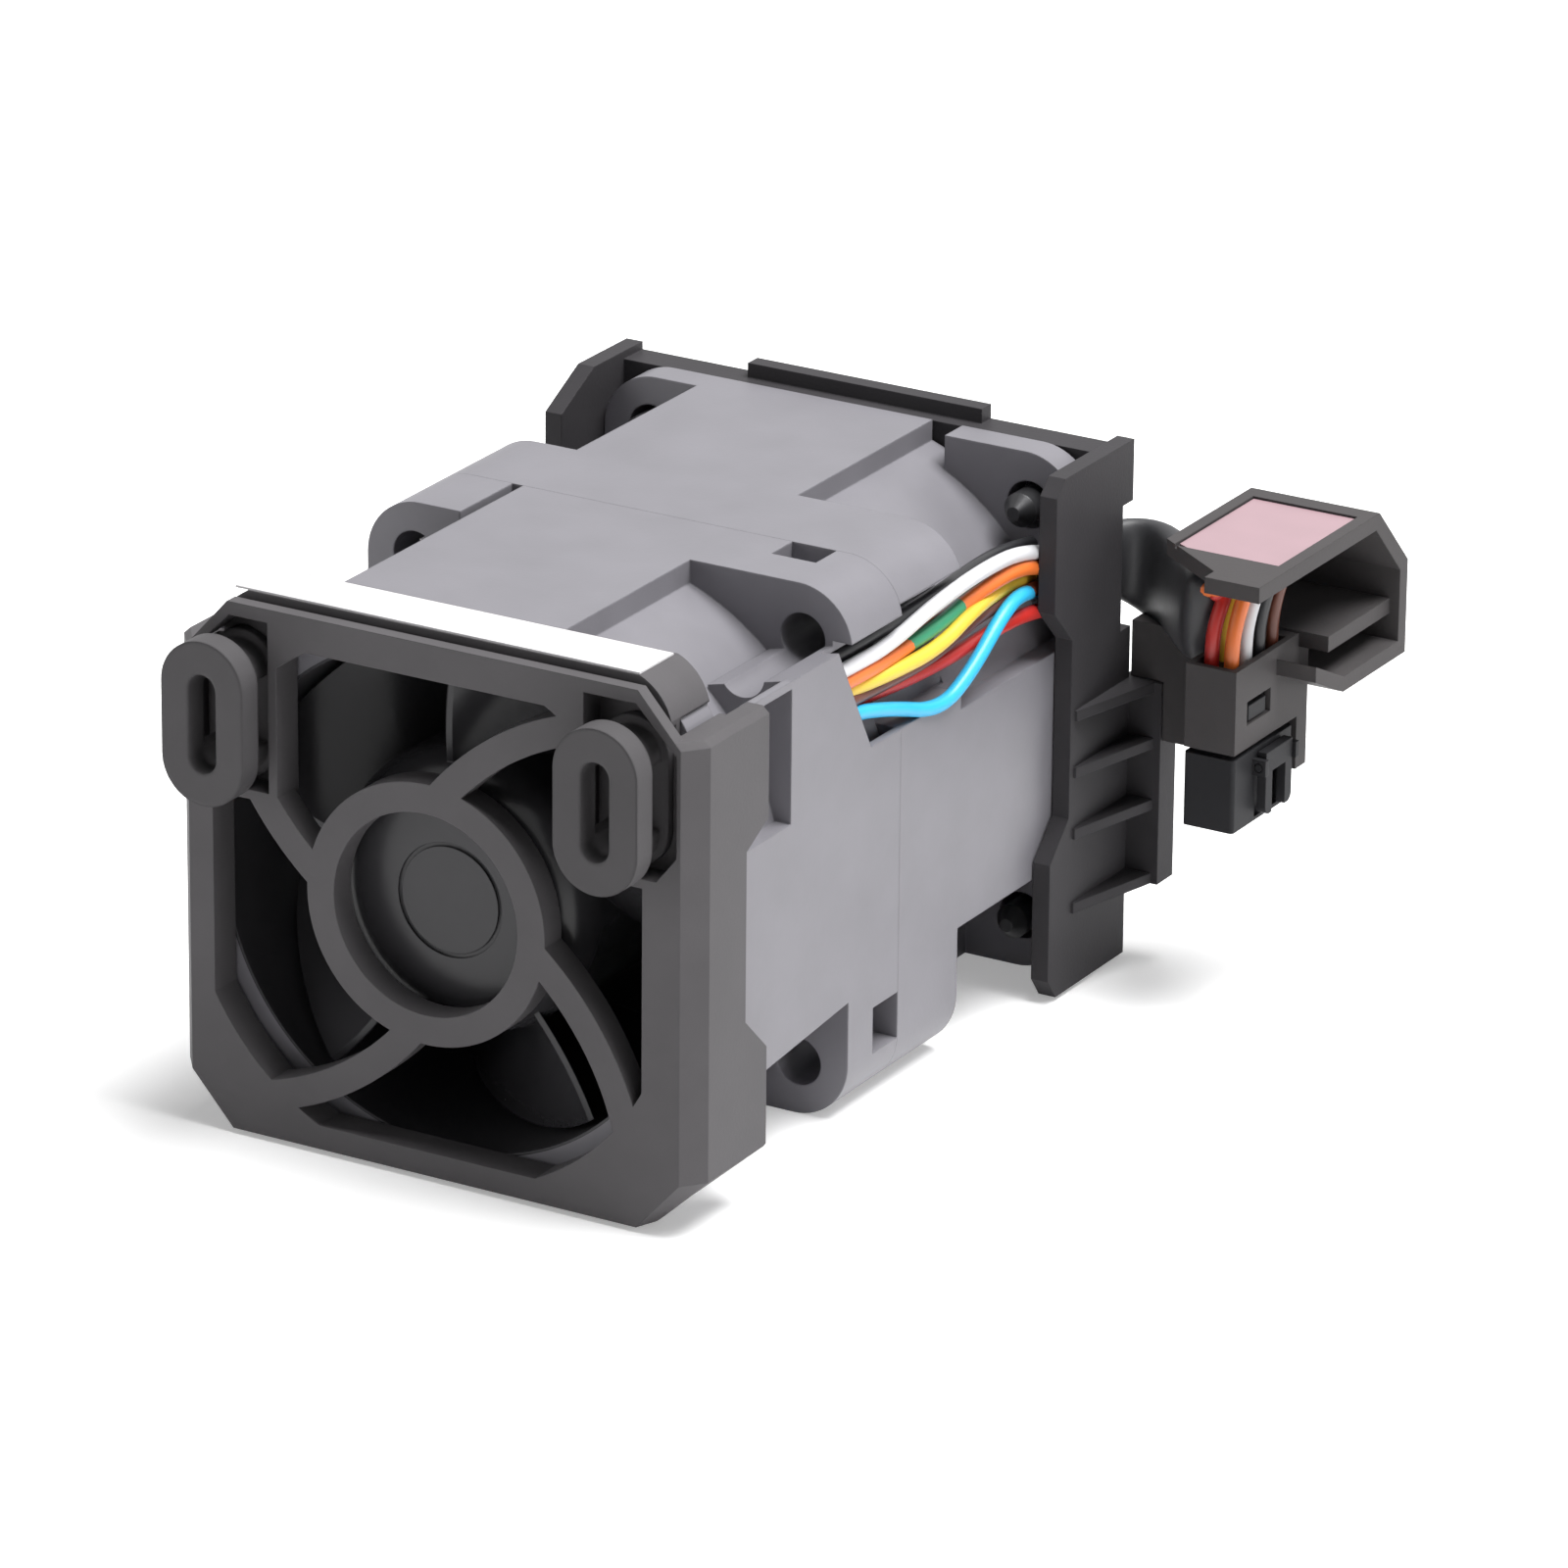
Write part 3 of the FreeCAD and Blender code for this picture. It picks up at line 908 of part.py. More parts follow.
def plug_housing():
    """Eight-way plug: a slim part held in the carrier's box, a wider part below it."""
    gap = BOX_WALL + FIT
    upper = box(PLUG_LEFT + gap, PLUG_RIGHT - gap, PLUG_FRONT + gap, PLUG_REAR - gap, PLUG_SPLIT - 0.4, PLUG_TOP - 0.6)
    lower = box(PLUG_LEFT, PLUG_RIGHT, PLUG_FRONT, PLUG_REAR, PLUG_LOW, PLUG_SPLIT - 0.4)
    lower = fillet_edges_along(lower, V(0, 0, 1), 0.3)
    tab = box(PLUG_RIGHT - gap - 0.05, PLUG_RIGHT - 0.15, WINDOW_FRONT + 0.5, WINDOW_REAR - 0.5, WINDOW_LOW + 0.15, WINDOW_HIGH - 0.5)
    body = fuse([upper, lower, tab])
    cavities = [Part.makeCylinder(PIN_CAVITY, PLUG_TOP - PLUG_LOW, V(x, y, PLUG_LOW + 2 * CONTACT_LOW))
                for x, y in pin_places()]
    slots = [box(x - 0.4, x + 0.4, y - 0.4, y + 0.4, PLUG_LOW - 1, PLUG_LOW + 2) for x, y in pin_places()]
    lugs = []
    pin_x = PLUG_RIGHT + LATCH_GAP + LATCH_T / 2
    for y in (LATCH_FRONT - FIT - LATCH_LUG_T, LATCH_REAR + FIT):
        lug = box(PLUG_RIGHT - 0.3, pin_x + 0.6, y, y + LATCH_LUG_T, LATCH_PIN_Z - 0.6, LATCH_PIN_Z + 0.6)
        lugs.append(lug.cut(rod_y(LATCH_PIN_R + LATCH_PIN_GAP, y - 1, y + 1, pin_x, LATCH_PIN_Z)))
    body = body.fuse(lugs)
    relief = box(PLUG_RIGHT - LATCH_STANDOFF, PLUG_RIGHT + 1, LATCH_FRONT - FIT, LATCH_REAR + FIT, LATCH_LOW - 0.2, LATCH_PIN_Z - 0.3)
    return body.cut(cavities + slots + [relief])


def plug_terminals():
    """Crimped contacts, one in each cavity."""
    group = []
    for x, y in pin_places():
        crimp = Part.makeCylinder(PIN_R, CRIMP_LEN, V(x, y, PLUG_LOW + CRIMP_LOW))
        blade_part = box(x - BLADE_HALF, x + BLADE_HALF, y - BLADE_HALF, y + BLADE_HALF,
                         PLUG_LOW + CONTACT_LOW, PLUG_LOW + CRIMP_LOW)
        group.append(crimp.fuse(blade_part))
    return Part.makeCompound(group)


def plug_latch():
    """Sprung lever on the plug's side, hinged near its top edge."""
    x0 = PLUG_RIGHT + LATCH_GAP
    lever = box(x0, x0 + LATCH_T, LATCH_FRONT, LATCH_REAR, LATCH_LOW, LATCH_HIGH)
    lever = fillet_edges_along(lever, V(1, 0, 0), 0.6, keep=lambda edge: edge.CenterOfMass.z < LATCH_LOW + 1)
    window = box(x0 - 1, x0 + LATCH_T + 1, LATCH_FRONT + 1.0, LATCH_REAR - 1.0, LATCH_LOW - 1, LATCH_HIGH - 1.6)
    reach = FIT + LATCH_LUG_T - SEAT
    pivot = rod_y(LATCH_PIN_R, LATCH_FRONT - reach, LATCH_REAR + reach, x0 + LATCH_T / 2, LATCH_PIN_Z)
    return fuse([lever.cut(window), pivot])


# ---- wires and cable --------------------------------------------------------------------
def rounded_path(points, label):
    """Straight runs joined by the largest tangent arcs that the runs allow."""
    corners = [V(*point) for point in points]
    edges, start, radii = [], corners[0], []
    for before, corner, after in zip(corners, corners[1:], corners[2:]):
        back, ahead = before - corner, after - corner
        turn = math.pi - back.getAngle(ahead)
        reach = 0.45 * min(back.Length, ahead.Length)
        radii.append(reach / math.tan(turn / 2))
        back.normalize()
        ahead.normalize()
        first, last = corner + back * reach, corner + ahead * reach
        middle_dir = back + ahead
        middle_dir.normalize()
        centre_distance = math.hypot(radii[-1], reach)
        middle = corner + middle_dir * (centre_distance - radii[-1])
        edges += [Part.LineSegment(start, first).toShape(), Part.Arc(first, middle, last).toShape()]
        start = last
    edges.append(Part.LineSegment(start, corners[-1]).toShape())
    print(label, "bend radii", ", ".join("%.1f" % radius for radius in radii))
    return Part.Wire(edges)


def tube_along(points, radius, label):
    path = rounded_path(points, label)
    start = V(*points[0])
    heading = V(*points[1]) - start
    ring = Part.Wire([Part.makeCircle(radius, start, heading)])
    solid = path.makePipeShell([ring], True, False)
    ideal = math.pi * radius ** 2 * path.Length
    print(label, "length %.1f, volume against section times length %.4f" % (path.Length, solid.Volume / ideal))
    return solid


def wire_run(order):
    """Route of one wire from the front half's outlet to the mouth of the sleeve."""
    inner = order % 2 == 0
    outer_x = SIZE / 2 - COVER_T - WIRE_R - FIT / 2
    column_x = outer_x - (OUTLET_APART if inner else 0)
    z_out = DUCT_HIGH - OUTLET_TOP_ROOM - order * OUTLET_STEP
    z_mid = WIRE_MID_Z - order * WIRE_STEP
    sag = WIRE_SAG * (order / (len(WIRES) - 1)) ** 3
    mid_x = SIZE / 2 - 0.4
    offset = 0.3 if inner else 0
    end_x = WIRE_END_X + WIRE_END_APART / 2 * (-1 if inner else 1)
    end_z = WIRE_END_Z - order * WIRE_END_STEP
    return [(column_x, WIRE_ENTRY_Y + SEAT, z_out), (column_x + 0.02, -3.6, z_out - 0.05),
            (mid_x - (0.75 if inner else 0), 3.4, (z_out + z_mid) / 2), (mid_x - offset, 0.35 * HALF_LENGTH, z_mid),
            (mid_x - offset, 0.557 * HALF_LENGTH, z_mid - sag), (end_x, WIRE_EXIT_Y, end_z)]


def sleeve_section(x, y, z, width, height, heading):
    """Flat oval ring, upright, across the heading."""
    across = V(heading[1], -heading[0], 0)
    across.normalize()
    centre = V(x, y, z)
    radius = width / 2
    reach = V(0, 0, height / 2 - radius)
    side = across * radius
    top, bottom = centre + reach, centre - reach
    crown, foot = top + V(0, 0, radius), bottom - V(0, 0, radius)
    return Part.Wire([Part.Arc(top - side, crown, top + side).toShape(), Part.makeLine(top + side, bottom + side),
                      Part.Arc(bottom + side, foot, bottom - side).toShape(), Part.makeLine(bottom - side, top - side)])


SLEEVE_ROUTE = [(BUNDLE_X, SLEEVE_START_Y, BUNDLE_Z), (BUNDLE_X, BRACKET_REAR + 2.6, BUNDLE_Z),
                (SIZE / 2 + 3.9, BRACKET_REAR + 3.0, BUNDLE_Z), (HOOD_LEFT - 0.8, BRACKET_REAR - 2.4, BUNDLE_Z),
                (PLUG_LEFT - 2.2, PLUG_FRONT + 3.0, BUNDLE_Z)]


def cable_sleeve():
    """Heat-shrink sleeve: tall mouth over the row of wires, then a flat oval that bends upright."""
    stack = WIRE_END_STEP * (len(WIRES) - 1)
    mouth_h = stack + 2 * WIRE_R + MOUTH_MARGIN
    middle = WIRE_END_Z - stack / 2
    straight = (0, 1)
    mouth_w = WIRE_END_APART + 2 * WIRE_R + MOUTH_MARGIN / 2
    mouth = sleeve_section(WIRE_END_X, WIRE_EXIT_Y, middle, mouth_w, mouth_h, straight)
    x, y, z = SLEEVE_ROUTE[0]
    oval = sleeve_section(x, y, z, SLEEVE_W, SLEEVE_H, straight)
    funnel = Part.makeLoft([mouth, oval], True, True)
    path = rounded_path(SLEEVE_ROUTE, "cable_sleeve")
    body = path.makePipeShell([oval], True, False)
    section = SLEEVE_W * (SLEEVE_H - SLEEVE_W) + math.pi * SLEEVE_W ** 2 / 4
    print("cable_sleeve length %.1f, volume against section times length %.4f"
          % (path.Length, body.Volume / section / path.Length))
    return fuse([funnel, body])


def wire_lead(order):
    """Lead from the sleeve's end, round in front of the plug and down into its contact."""
    row, outer = order // 2, order % 2
    z = BUNDLE_Z + (1.5 - row) * WIRE_STEP
    end = V(*SLEEVE_ROUTE[-1])
    heading = end - V(*SLEEVE_ROUTE[-2])
    heading.normalize()
    left = V(-heading.y, heading.x, 0)
    start = end + left * (LEAD_SPREAD / 2 * (-1 if outer else 1))
    pin_x, pin_y = pin_places()[2 * (PIN_COUNT - 1 - row) + outer]
    turn_x, turn_y = LEAD_TURN_X - outer * (LEAD_APART - 0.2), LEAD_TURN_Y - outer * LEAD_APART
    return [(start.x, start.y, z), (turn_x, turn_y, z), (pin_x, turn_y - 0.4, z), (pin_x, pin_y, z + 0.02),
            (pin_x, pin_y, PLUG_LOW + LEAD_END)]


def wire(order):
    run = tube_along(wire_run(order), WIRE_R, "wire_" + WIRES[order])
    lead = tube_along(wire_lead(order), WIRE_R, "lead_" + WIRES[order])
    return Part.makeCompound([run, lead])


# ---- assembly ---------------------------------------------------------------------------
def motor_pieces(prefix, place):
    return {
        prefix + "_bearing_sleeve": place(bearing_sleeve()),
        prefix + "_bearings": place(ball_bearings()),
        prefix + "_stator_core": place(stator_core()),
        prefix + "_windings": place(windings()),
        prefix + "_circuit_board": place(circuit_board()),
        prefix + "_rotor_yoke": place(rotor_yoke()),
        prefix + "_rotor_magnet": place(rotor_magnet()),
        prefix + "_rotor_shaft": place(rotor_shaft()),
        prefix + "_preload_washer": place(preload_washer()),
        prefix + "_shaft_clip": place(shaft_clip()),
    }


def all_pieces():
    pieces = {
        "front_bezel": front_bezel(),
        "isolator_left": isolator(-LOOP_X),
        "isolator_right": isolator(LOOP_X),
        "bezel_label": bezel_label(),
        "front_housing": front_housing(),
        "rear_housing": rear_housing(),
        "front_impeller": impeller(INLET_BLADES, 62.0, 20.0),
        "rear_impeller": other_side(impeller(OUTLET_BLADES, 46.0, 8.0)),
        "rear_bracket": rear_bracket(),
        "rear_screws": rear_screws(),
        "connector_carrier": connector_carrier(),
        "carrier_label": carrier_label(),
        "plug_housing": plug_housing(),
        "plug_terminals": plug_terminals(),
        "plug_latch": plug_latch(),
        "cable_sleeve": cable_sleeve(),
    }
    pieces.update(motor_pieces("front", lambda shape: shape))
    pieces.update(motor_pieces("rear", other_side))
    for order, colour in enumerate(WIRES):
        pieces["wire_" + colour] = wire(order)
    return pieces


os.makedirs("parts", exist_ok=True)
for name, shape in all_pieces().items():
    shape.exportStep("parts/" + name + ".step")
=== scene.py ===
"""Looks, light and camera for the counter-rotating fan module. Metres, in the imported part's frame."""
import json
import math

import bmesh
import bpy
from mathutils import Matrix, Vector


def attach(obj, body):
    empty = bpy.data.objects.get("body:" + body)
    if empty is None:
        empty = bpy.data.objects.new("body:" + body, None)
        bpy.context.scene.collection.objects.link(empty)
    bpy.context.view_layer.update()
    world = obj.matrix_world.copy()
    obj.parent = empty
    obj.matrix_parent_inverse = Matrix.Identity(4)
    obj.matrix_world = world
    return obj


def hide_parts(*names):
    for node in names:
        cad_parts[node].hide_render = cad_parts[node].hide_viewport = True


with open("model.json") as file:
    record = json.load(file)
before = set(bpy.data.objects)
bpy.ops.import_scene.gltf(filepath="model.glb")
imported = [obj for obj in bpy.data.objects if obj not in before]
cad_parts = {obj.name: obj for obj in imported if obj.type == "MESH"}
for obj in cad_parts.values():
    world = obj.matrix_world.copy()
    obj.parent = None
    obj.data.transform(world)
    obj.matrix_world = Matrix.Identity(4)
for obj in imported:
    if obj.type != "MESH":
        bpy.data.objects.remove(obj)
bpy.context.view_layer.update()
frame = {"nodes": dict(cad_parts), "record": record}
MM = 0.001

# ---- camera and light ---------------------------------------------------------------------
CAMERA_TARGET = Vector((0, -2.2, 20)) * MM   # on the rotor axis, near the seam
AZIMUTH = 31.158         # degrees round from the front, towards the wires
ELEVATION = 21.266
ROLL = 0.212
DISTANCE = 700 * MM
SENSOR = 36.0
LENS = 225.06            # millimetres on a 36 mm sensor
LOOK_RIGHT = 10.18 * MM  # the view's centre, to the right of the target
LOOK_UP = 0.21 * MM
CLIP_NEAR, CLIP_FAR = 0.01, 20
FLOOR_SIZE = 2.0
FLOOR_COLOUR = (0.9, 0.9, 0.9, 1)
FLOOR_GLOW = 0.3         # lifts the floor to the background's white for rays that see it
WORLD_LIGHT = 0.15       # what the white surroundings give off as light
LAMP_AIM = Vector((0, 0, 0.02))
LAMPS = {                # place of each square lamp and its side, in metres, and its power in watts
    "key": ((0.25, 0.1, 0.8), 0.5, 13.6),
    "side": ((0.9, 0.0, 0.25), 0.6, 2.2),
    "fill": ((-0.6, -0.7, 0.2), 0.5, 1.8),
}

scene = bpy.context.scene
scene.view_settings.view_transform = "Standard"


def add_camera():
    """Camera on a sphere round the target, turned a little aside from it and rolled."""
    azimuth, elevation = math.radians(AZIMUTH), math.radians(ELEVATION)
    back = Vector((math.sin(azimuth) * math.cos(elevation), -math.cos(azimuth) * math.cos(elevation),
                   math.sin(elevation)))
    right = Vector((math.cos(azimuth), math.sin(azimuth), 0))
    up = back.cross(right)
    place = CAMERA_TARGET + back * DISTANCE
    look = CAMERA_TARGET + right * LOOK_RIGHT + up * LOOK_UP
    axis_z = (place - look).normalized()
    axis_x = (right - axis_z * right.dot(axis_z)).normalized()
    axis_x.rotate(Matrix.Rotation(math.radians(ROLL), 3, axis_z))
    axis_y = axis_z.cross(axis_x)
    data = bpy.data.cameras.new("camera")
    data.lens = LENS
    data.sensor_width = SENSOR
    data.clip_start = CLIP_NEAR
    data.clip_end = CLIP_FAR
    camera = bpy.data.objects.new("camera", data)
    turn = Matrix((axis_x, axis_y, axis_z)).transposed().to_4x4()
    camera.matrix_world = Matrix.Translation(place) @ turn
    scene.collection.objects.link(camera)
    scene.camera = camera


def add_area(name, place, size, power):
    """Square lamp that faces the fan."""
    data = bpy.data.lights.new(name, "AREA")
    data.size = size
    data.energy = power
    lamp = bpy.data.objects.new(name, data)
    lamp.location = place
    lamp.rotation_euler = (LAMP_AIM - Vector(place)).to_track_quat("-Z", "Y").to_euler()
    scene.collection.objects.link(lamp)


def shown_white(nodes, links):
    """1 for rays that see or mirror the background, 0 for rays that only gather light."""
    path = nodes.new("ShaderNodeLightPath")
    seen = nodes.new("ShaderNodeMath")
    seen.operation = "MAXIMUM"
    links.new(path.outputs["Is Camera Ray"], seen.inputs[0])
    mirrored = nodes.new("ShaderNodeMath")
    mirrored.operation = "MAXIMUM"
    links.new(path.outputs["Is Glossy Ray"], mirrored.inputs[0])
    links.new(path.outputs["Is Transmission Ray"], mirrored.inputs[1])
    links.new(mirrored.outputs[0], seen.inputs[1])
    return seen.outputs[0]


def set_world():
    """White background that gives little light of its own."""
    world = bpy.data.worlds.new("studio")
    scene.world = world
    world.use_nodes = True
    nodes, links = world.node_tree.nodes, world.node_tree.links
    nodes.clear()
    light = nodes.new("ShaderNodeBackground")
    light.inputs["Color"].default_value = (1, 1, 1, 1)
    light.inputs["Strength"].default_value = WORLD_LIGHT
    white = nodes.new("ShaderNodeBackground")
    white.inputs["Color"].default_value = (1, 1, 1, 1)
    white.inputs["Strength"].default_value = 1
    mix = nodes.new("ShaderNodeMixShader")
    links.new(shown_white(nodes, links), mix.inputs[0])
    links.new(light.outputs[0], mix.inputs[1])
    links.new(white.outputs[0], mix.inputs[2])
    out = nodes.new("ShaderNodeOutputWorld")
    links.new(mix.outputs[0], out.inputs["Surface"])


def add_floor():
    """Pale floor that keeps the object's shadow and meets the white background."""
    half = FLOOR_SIZE / 2
    mesh = bpy.data.meshes.new("floor")
    corners = [(-half, -half, 0), (half, -half, 0), (half, half, 0), (-half, half, 0)]
    mesh.from_pydata(corners, [], [(0, 1, 2, 3)])
    floor = bpy.data.objects.new("floor", mesh)
    scene.collection.objects.link(floor)
    material = bpy.data.materials.new("floor")
    material.use_nodes = True
    nodes, links = material.node_tree.nodes, material.node_tree.links
    nodes.clear()
    matt = nodes.new("ShaderNodeBsdfDiffuse")
    matt.inputs["Color"].default_value = FLOOR_COLOUR
    glow = nodes.new("ShaderNodeEmission")
    glow.inputs["Strength"].default_value = FLOOR_GLOW
    black = nodes.new("ShaderNodeEmission")
    black.inputs["Strength"].default_value = 0
    mix = nodes.new("ShaderNodeMixShader")
    links.new(shown_white(nodes, links), mix.inputs[0])
    links.new(black.outputs[0], mix.inputs[1])
    links.new(glow.outputs[0], mix.inputs[2])
    both = nodes.new("ShaderNodeAddShader")
    links.new(matt.outputs[0], both.inputs[0])
    links.new(mix.outputs[0], both.inputs[1])
    out = nodes.new("ShaderNodeOutputMaterial")
    links.new(both.outputs[0], out.inputs["Surface"])
    mesh.materials.append(material)


# ---- materials ----------------------------------------------------------------------------
# painted shade: housing surfaces inside this radius take a dark colour in place of the shade the duct gets
DUCT_R = 18.8            # surfaces nearer to the rotor axis than this are inside the air duct
AXIS_HEIGHT = 20
MOTTLE_RANGE = (0.3, 0.7)    # part of the noise over which the mottling changes
GLOSS_SPREAD = 0.05      # roughness varies by this much either way
LEAST_ROUGHNESS = 0.02
GRAIN_DEPTH = 0.02


def painted_duct_shade(nodes, links, place, outside, shade_colour):
    """Painted shade of the unlit air duct: a darker colour near the rotor axis, the given colour
    elsewhere.
    """
    apart = nodes.new("ShaderNodeVectorMath")
    apart.operation = "SUBTRACT"
    apart.inputs[1].default_value = (0, 0, AXIS_HEIGHT * MM)
    links.new(place.outputs["Object"], apart.inputs[0])
    flat = nodes.new("ShaderNodeVectorMath")
    flat.operation = "MULTIPLY"
    flat.inputs[1].default_value = (1, 0, 1)
    links.new(apart.outputs["Vector"], flat.inputs[0])
    reach = nodes.new("ShaderNodeVectorMath")
    reach.operation = "LENGTH"
    links.new(flat.outputs["Vector"], reach.inputs[0])
    near = nodes.new("ShaderNodeMath")
    near.operation = "LESS_THAN"
    near.inputs[1].default_value = DUCT_R * MM
    links.new(reach.outputs["Value"], near.inputs[0])
    mix = nodes.new("ShaderNodeMix")
    mix.data_type = "RGBA"
    links.new(near.outputs[0], mix.inputs["Factor"])
    links.new(outside, mix.inputs["A"])
    mix.inputs["B"].default_value = (*shade_colour, 1)
    return mix.outputs["Result"]


def material(name, colour, roughness=0.5, metallic=0.0, grain=0.0, grain_size=0.4, mottle=0.06,
             mottle_size=6.0, bevel=0.12, streak=None, specular=0.5, duct_shade=None):
    """Procedural finish: faint mottling of colour and gloss, a fine grain and softened edges.

    Sizes are in millimetres; streak stretches the grain along one axis, as on drawn or turned metal,
    and duct_shade is a painted shade colour for the air duct's wall, which the lamps barely reach.
    """
    made = bpy.data.materials.new(name)
    made.use_nodes = True
    nodes, links = made.node_tree.nodes, made.node_tree.links
    shader = nodes["Principled BSDF"]
    shader.inputs["Metallic"].default_value = metallic
    shader.inputs["Specular IOR Level"].default_value = specular
    place = nodes.new("ShaderNodeTexCoord")
    patches = nodes.new("ShaderNodeTexNoise")
    patches.inputs["Scale"].default_value = 1 / (mottle_size * MM)
    patches.inputs["Detail"].default_value = 3
    links.new(place.outputs["Object"], patches.inputs["Vector"])
    ramp = nodes.new("ShaderNodeValToRGB")
    for element, position, factor in zip(ramp.color_ramp.elements, MOTTLE_RANGE, (1 - mottle, 1 + mottle)):
        element.position = position
        element.color = (*(min(1.0, channel * factor) for channel in colour), 1)
    links.new(patches.outputs["Fac"], ramp.inputs["Fac"])
    tint = ramp.outputs["Color"]
    # painted shade: the housing's colour is darkened inside the air duct
    if duct_shade:
        tint = painted_duct_shade(nodes, links, place, tint, duct_shade)
    links.new(tint, shader.inputs["Base Color"])
    gloss = nodes.new("ShaderNodeMapRange")
    gloss.inputs["To Min"].default_value = max(LEAST_ROUGHNESS, roughness - GLOSS_SPREAD)
    gloss.inputs["To Max"].default_value = min(1.0, roughness + GLOSS_SPREAD)
    links.new(patches.outputs["Fac"], gloss.inputs["Value"])
    links.new(gloss.outputs["Result"], shader.inputs["Roughness"])
    soft = nodes.new("ShaderNodeBevel")
    soft.samples = 4
    soft.inputs["Radius"].default_value = bevel * MM
    normal = soft.outputs["Normal"]
    if grain:
        stretch = nodes.new("ShaderNodeMapping")
        stretch.inputs["Scale"].default_value = streak or (1, 1, 1)
        links.new(place.outputs["Object"], stretch.inputs["Vector"])
        fine = nodes.new("ShaderNodeTexNoise")
        fine.inputs["Scale"].default_value = 1 / (grain_size * MM)
        fine.inputs["Detail"].default_value = 2
        links.new(stretch.outputs["Vector"], fine.inputs["Vector"])
        bump = nodes.new("ShaderNodeBump")
        bump.inputs["Strength"].default_value = grain
        bump.inputs["Distance"].default_value = GRAIN_DEPTH * MM
        links.new(fine.outputs["Fac"], bump.inputs["Height"])
        links.new(normal, bump.inputs["Normal"])
        normal = bump.outputs["Normal"]
    links.new(normal, shader.inputs["Normal"])
    return made


ALONG_Y = (1, 0.05, 1)       # grain drawn out along the fan's axis
LAYERED_Y = (0.05, 3, 0.05)  # grain in thin layers across the axis
FINISHES = {
    "bezel_plastic": dict(colour=(0.084, 0.08, 0.084), roughness=0.55, specular=0.14, grain=0.5,
                          grain_size=0.25),
    "bracket_plastic": dict(colour=(0.042, 0.04, 0.043), roughness=0.5, specular=0.07, grain=0.5,
                            grain_size=0.25),
    # the duct colour is painted shade for the inside of the air duct, not the plastic's own colour
    "fan_plastic": dict(colour=(0.172, 0.167, 0.184), duct_shade=(0.03, 0.029, 0.032), roughness=0.45,
                        specular=0.4, grain=0.3, grain_size=0.3, bevel=0.2),
    "impeller_plastic": dict(colour=(0.03, 0.029, 0.032), roughness=0.25, specular=0.3, grain=0.2,
                             grain_size=0.3),
    "isolator_rubber": dict(colour=(0.07, 0.067, 0.07), roughness=0.6, specular=0.14, grain=0.5,
                            grain_size=0.2, bevel=0.4),
    "label_white": dict(colour=(0.6, 0.59, 0.6), roughness=0.35, bevel=0.05, mottle=0.03),
    "label_pink": dict(colour=(0.33, 0.215, 0.24), roughness=0.35, bevel=0.05, mottle=0.05),
    "brass": dict(colour=(0.62, 0.45, 0.2), roughness=0.3, metallic=1, grain=0.3, streak=ALONG_Y),
    "bearing_steel": dict(colour=(0.5, 0.5, 0.52), roughness=0.28, metallic=1, grain=0.2),
    "core_steel": dict(colour=(0.32, 0.32, 0.34), roughness=0.45, metallic=1, grain=0.6,
                       streak=LAYERED_Y),
    "copper": dict(colour=(0.62, 0.26, 0.1), roughness=0.3, metallic=0.8, grain=1.0, grain_size=0.15),
    "board_green": dict(colour=(0.02, 0.17, 0.07), roughness=0.35, grain=0.3),
    "yoke_steel": dict(colour=(0.36, 0.36, 0.38), roughness=0.35, metallic=1, grain=0.3, streak=ALONG_Y),
    "magnet_grey": dict(colour=(0.06, 0.06, 0.065), roughness=0.6, grain=0.5),
    "carrier_plastic": dict(colour=(0.062, 0.058, 0.059), roughness=0.5, specular=0.06, grain=0.5,
                            grain_size=0.25),
    "plug_plastic": dict(colour=(0.024, 0.024, 0.026), roughness=0.45, specular=0.06, grain=0.3),
    "contact_tin": dict(colour=(0.6, 0.6, 0.6), roughness=0.3, metallic=1, grain=0.2),
    "screw_black": dict(colour=(0.03, 0.03, 0.032), roughness=0.4, metallic=0.4, grain=0.2),
    "sleeve_black": dict(colour=(0.03, 0.03, 0.033), roughness=0.5, grain=0.8, grain_size=0.6, bevel=0.3),
}
WIRE_COLOURS = {
    "black": (0.012, 0.012, 0.014), "white": (0.62, 0.62, 0.64), "green": (0.03, 0.26, 0.13),
    "orange": (0.72, 0.16, 0.03), "yellow": (0.72, 0.5, 0.05), "brown": (0.12, 0.035, 0.02),
    "red": (0.5, 0.025, 0.02), "blue": (0.03, 0.42, 0.72),
}


def dress():
    """Gives every carried-over node the finish of its slot in the record, and hands the finishes on."""
    for colour, value in WIRE_COLOURS.items():
        FINISHES["wire_" + colour] = dict(colour=value, roughness=0.35, grain=0.2, bevel=0.1, mottle=0.04)
    made = {}
    for part in frame["record"]["subparts"]:
        slot = part["material_slot"]
        if slot not in made:
            made[slot] = material(slot, **FINISHES[slot])
        node = frame["nodes"][part["node"]]
        if not node.data.materials:
            node.data.materials.append(None)
        for place in range(len(node.data.materials)):
            node.data.materials[place] = made[slot]
    return made


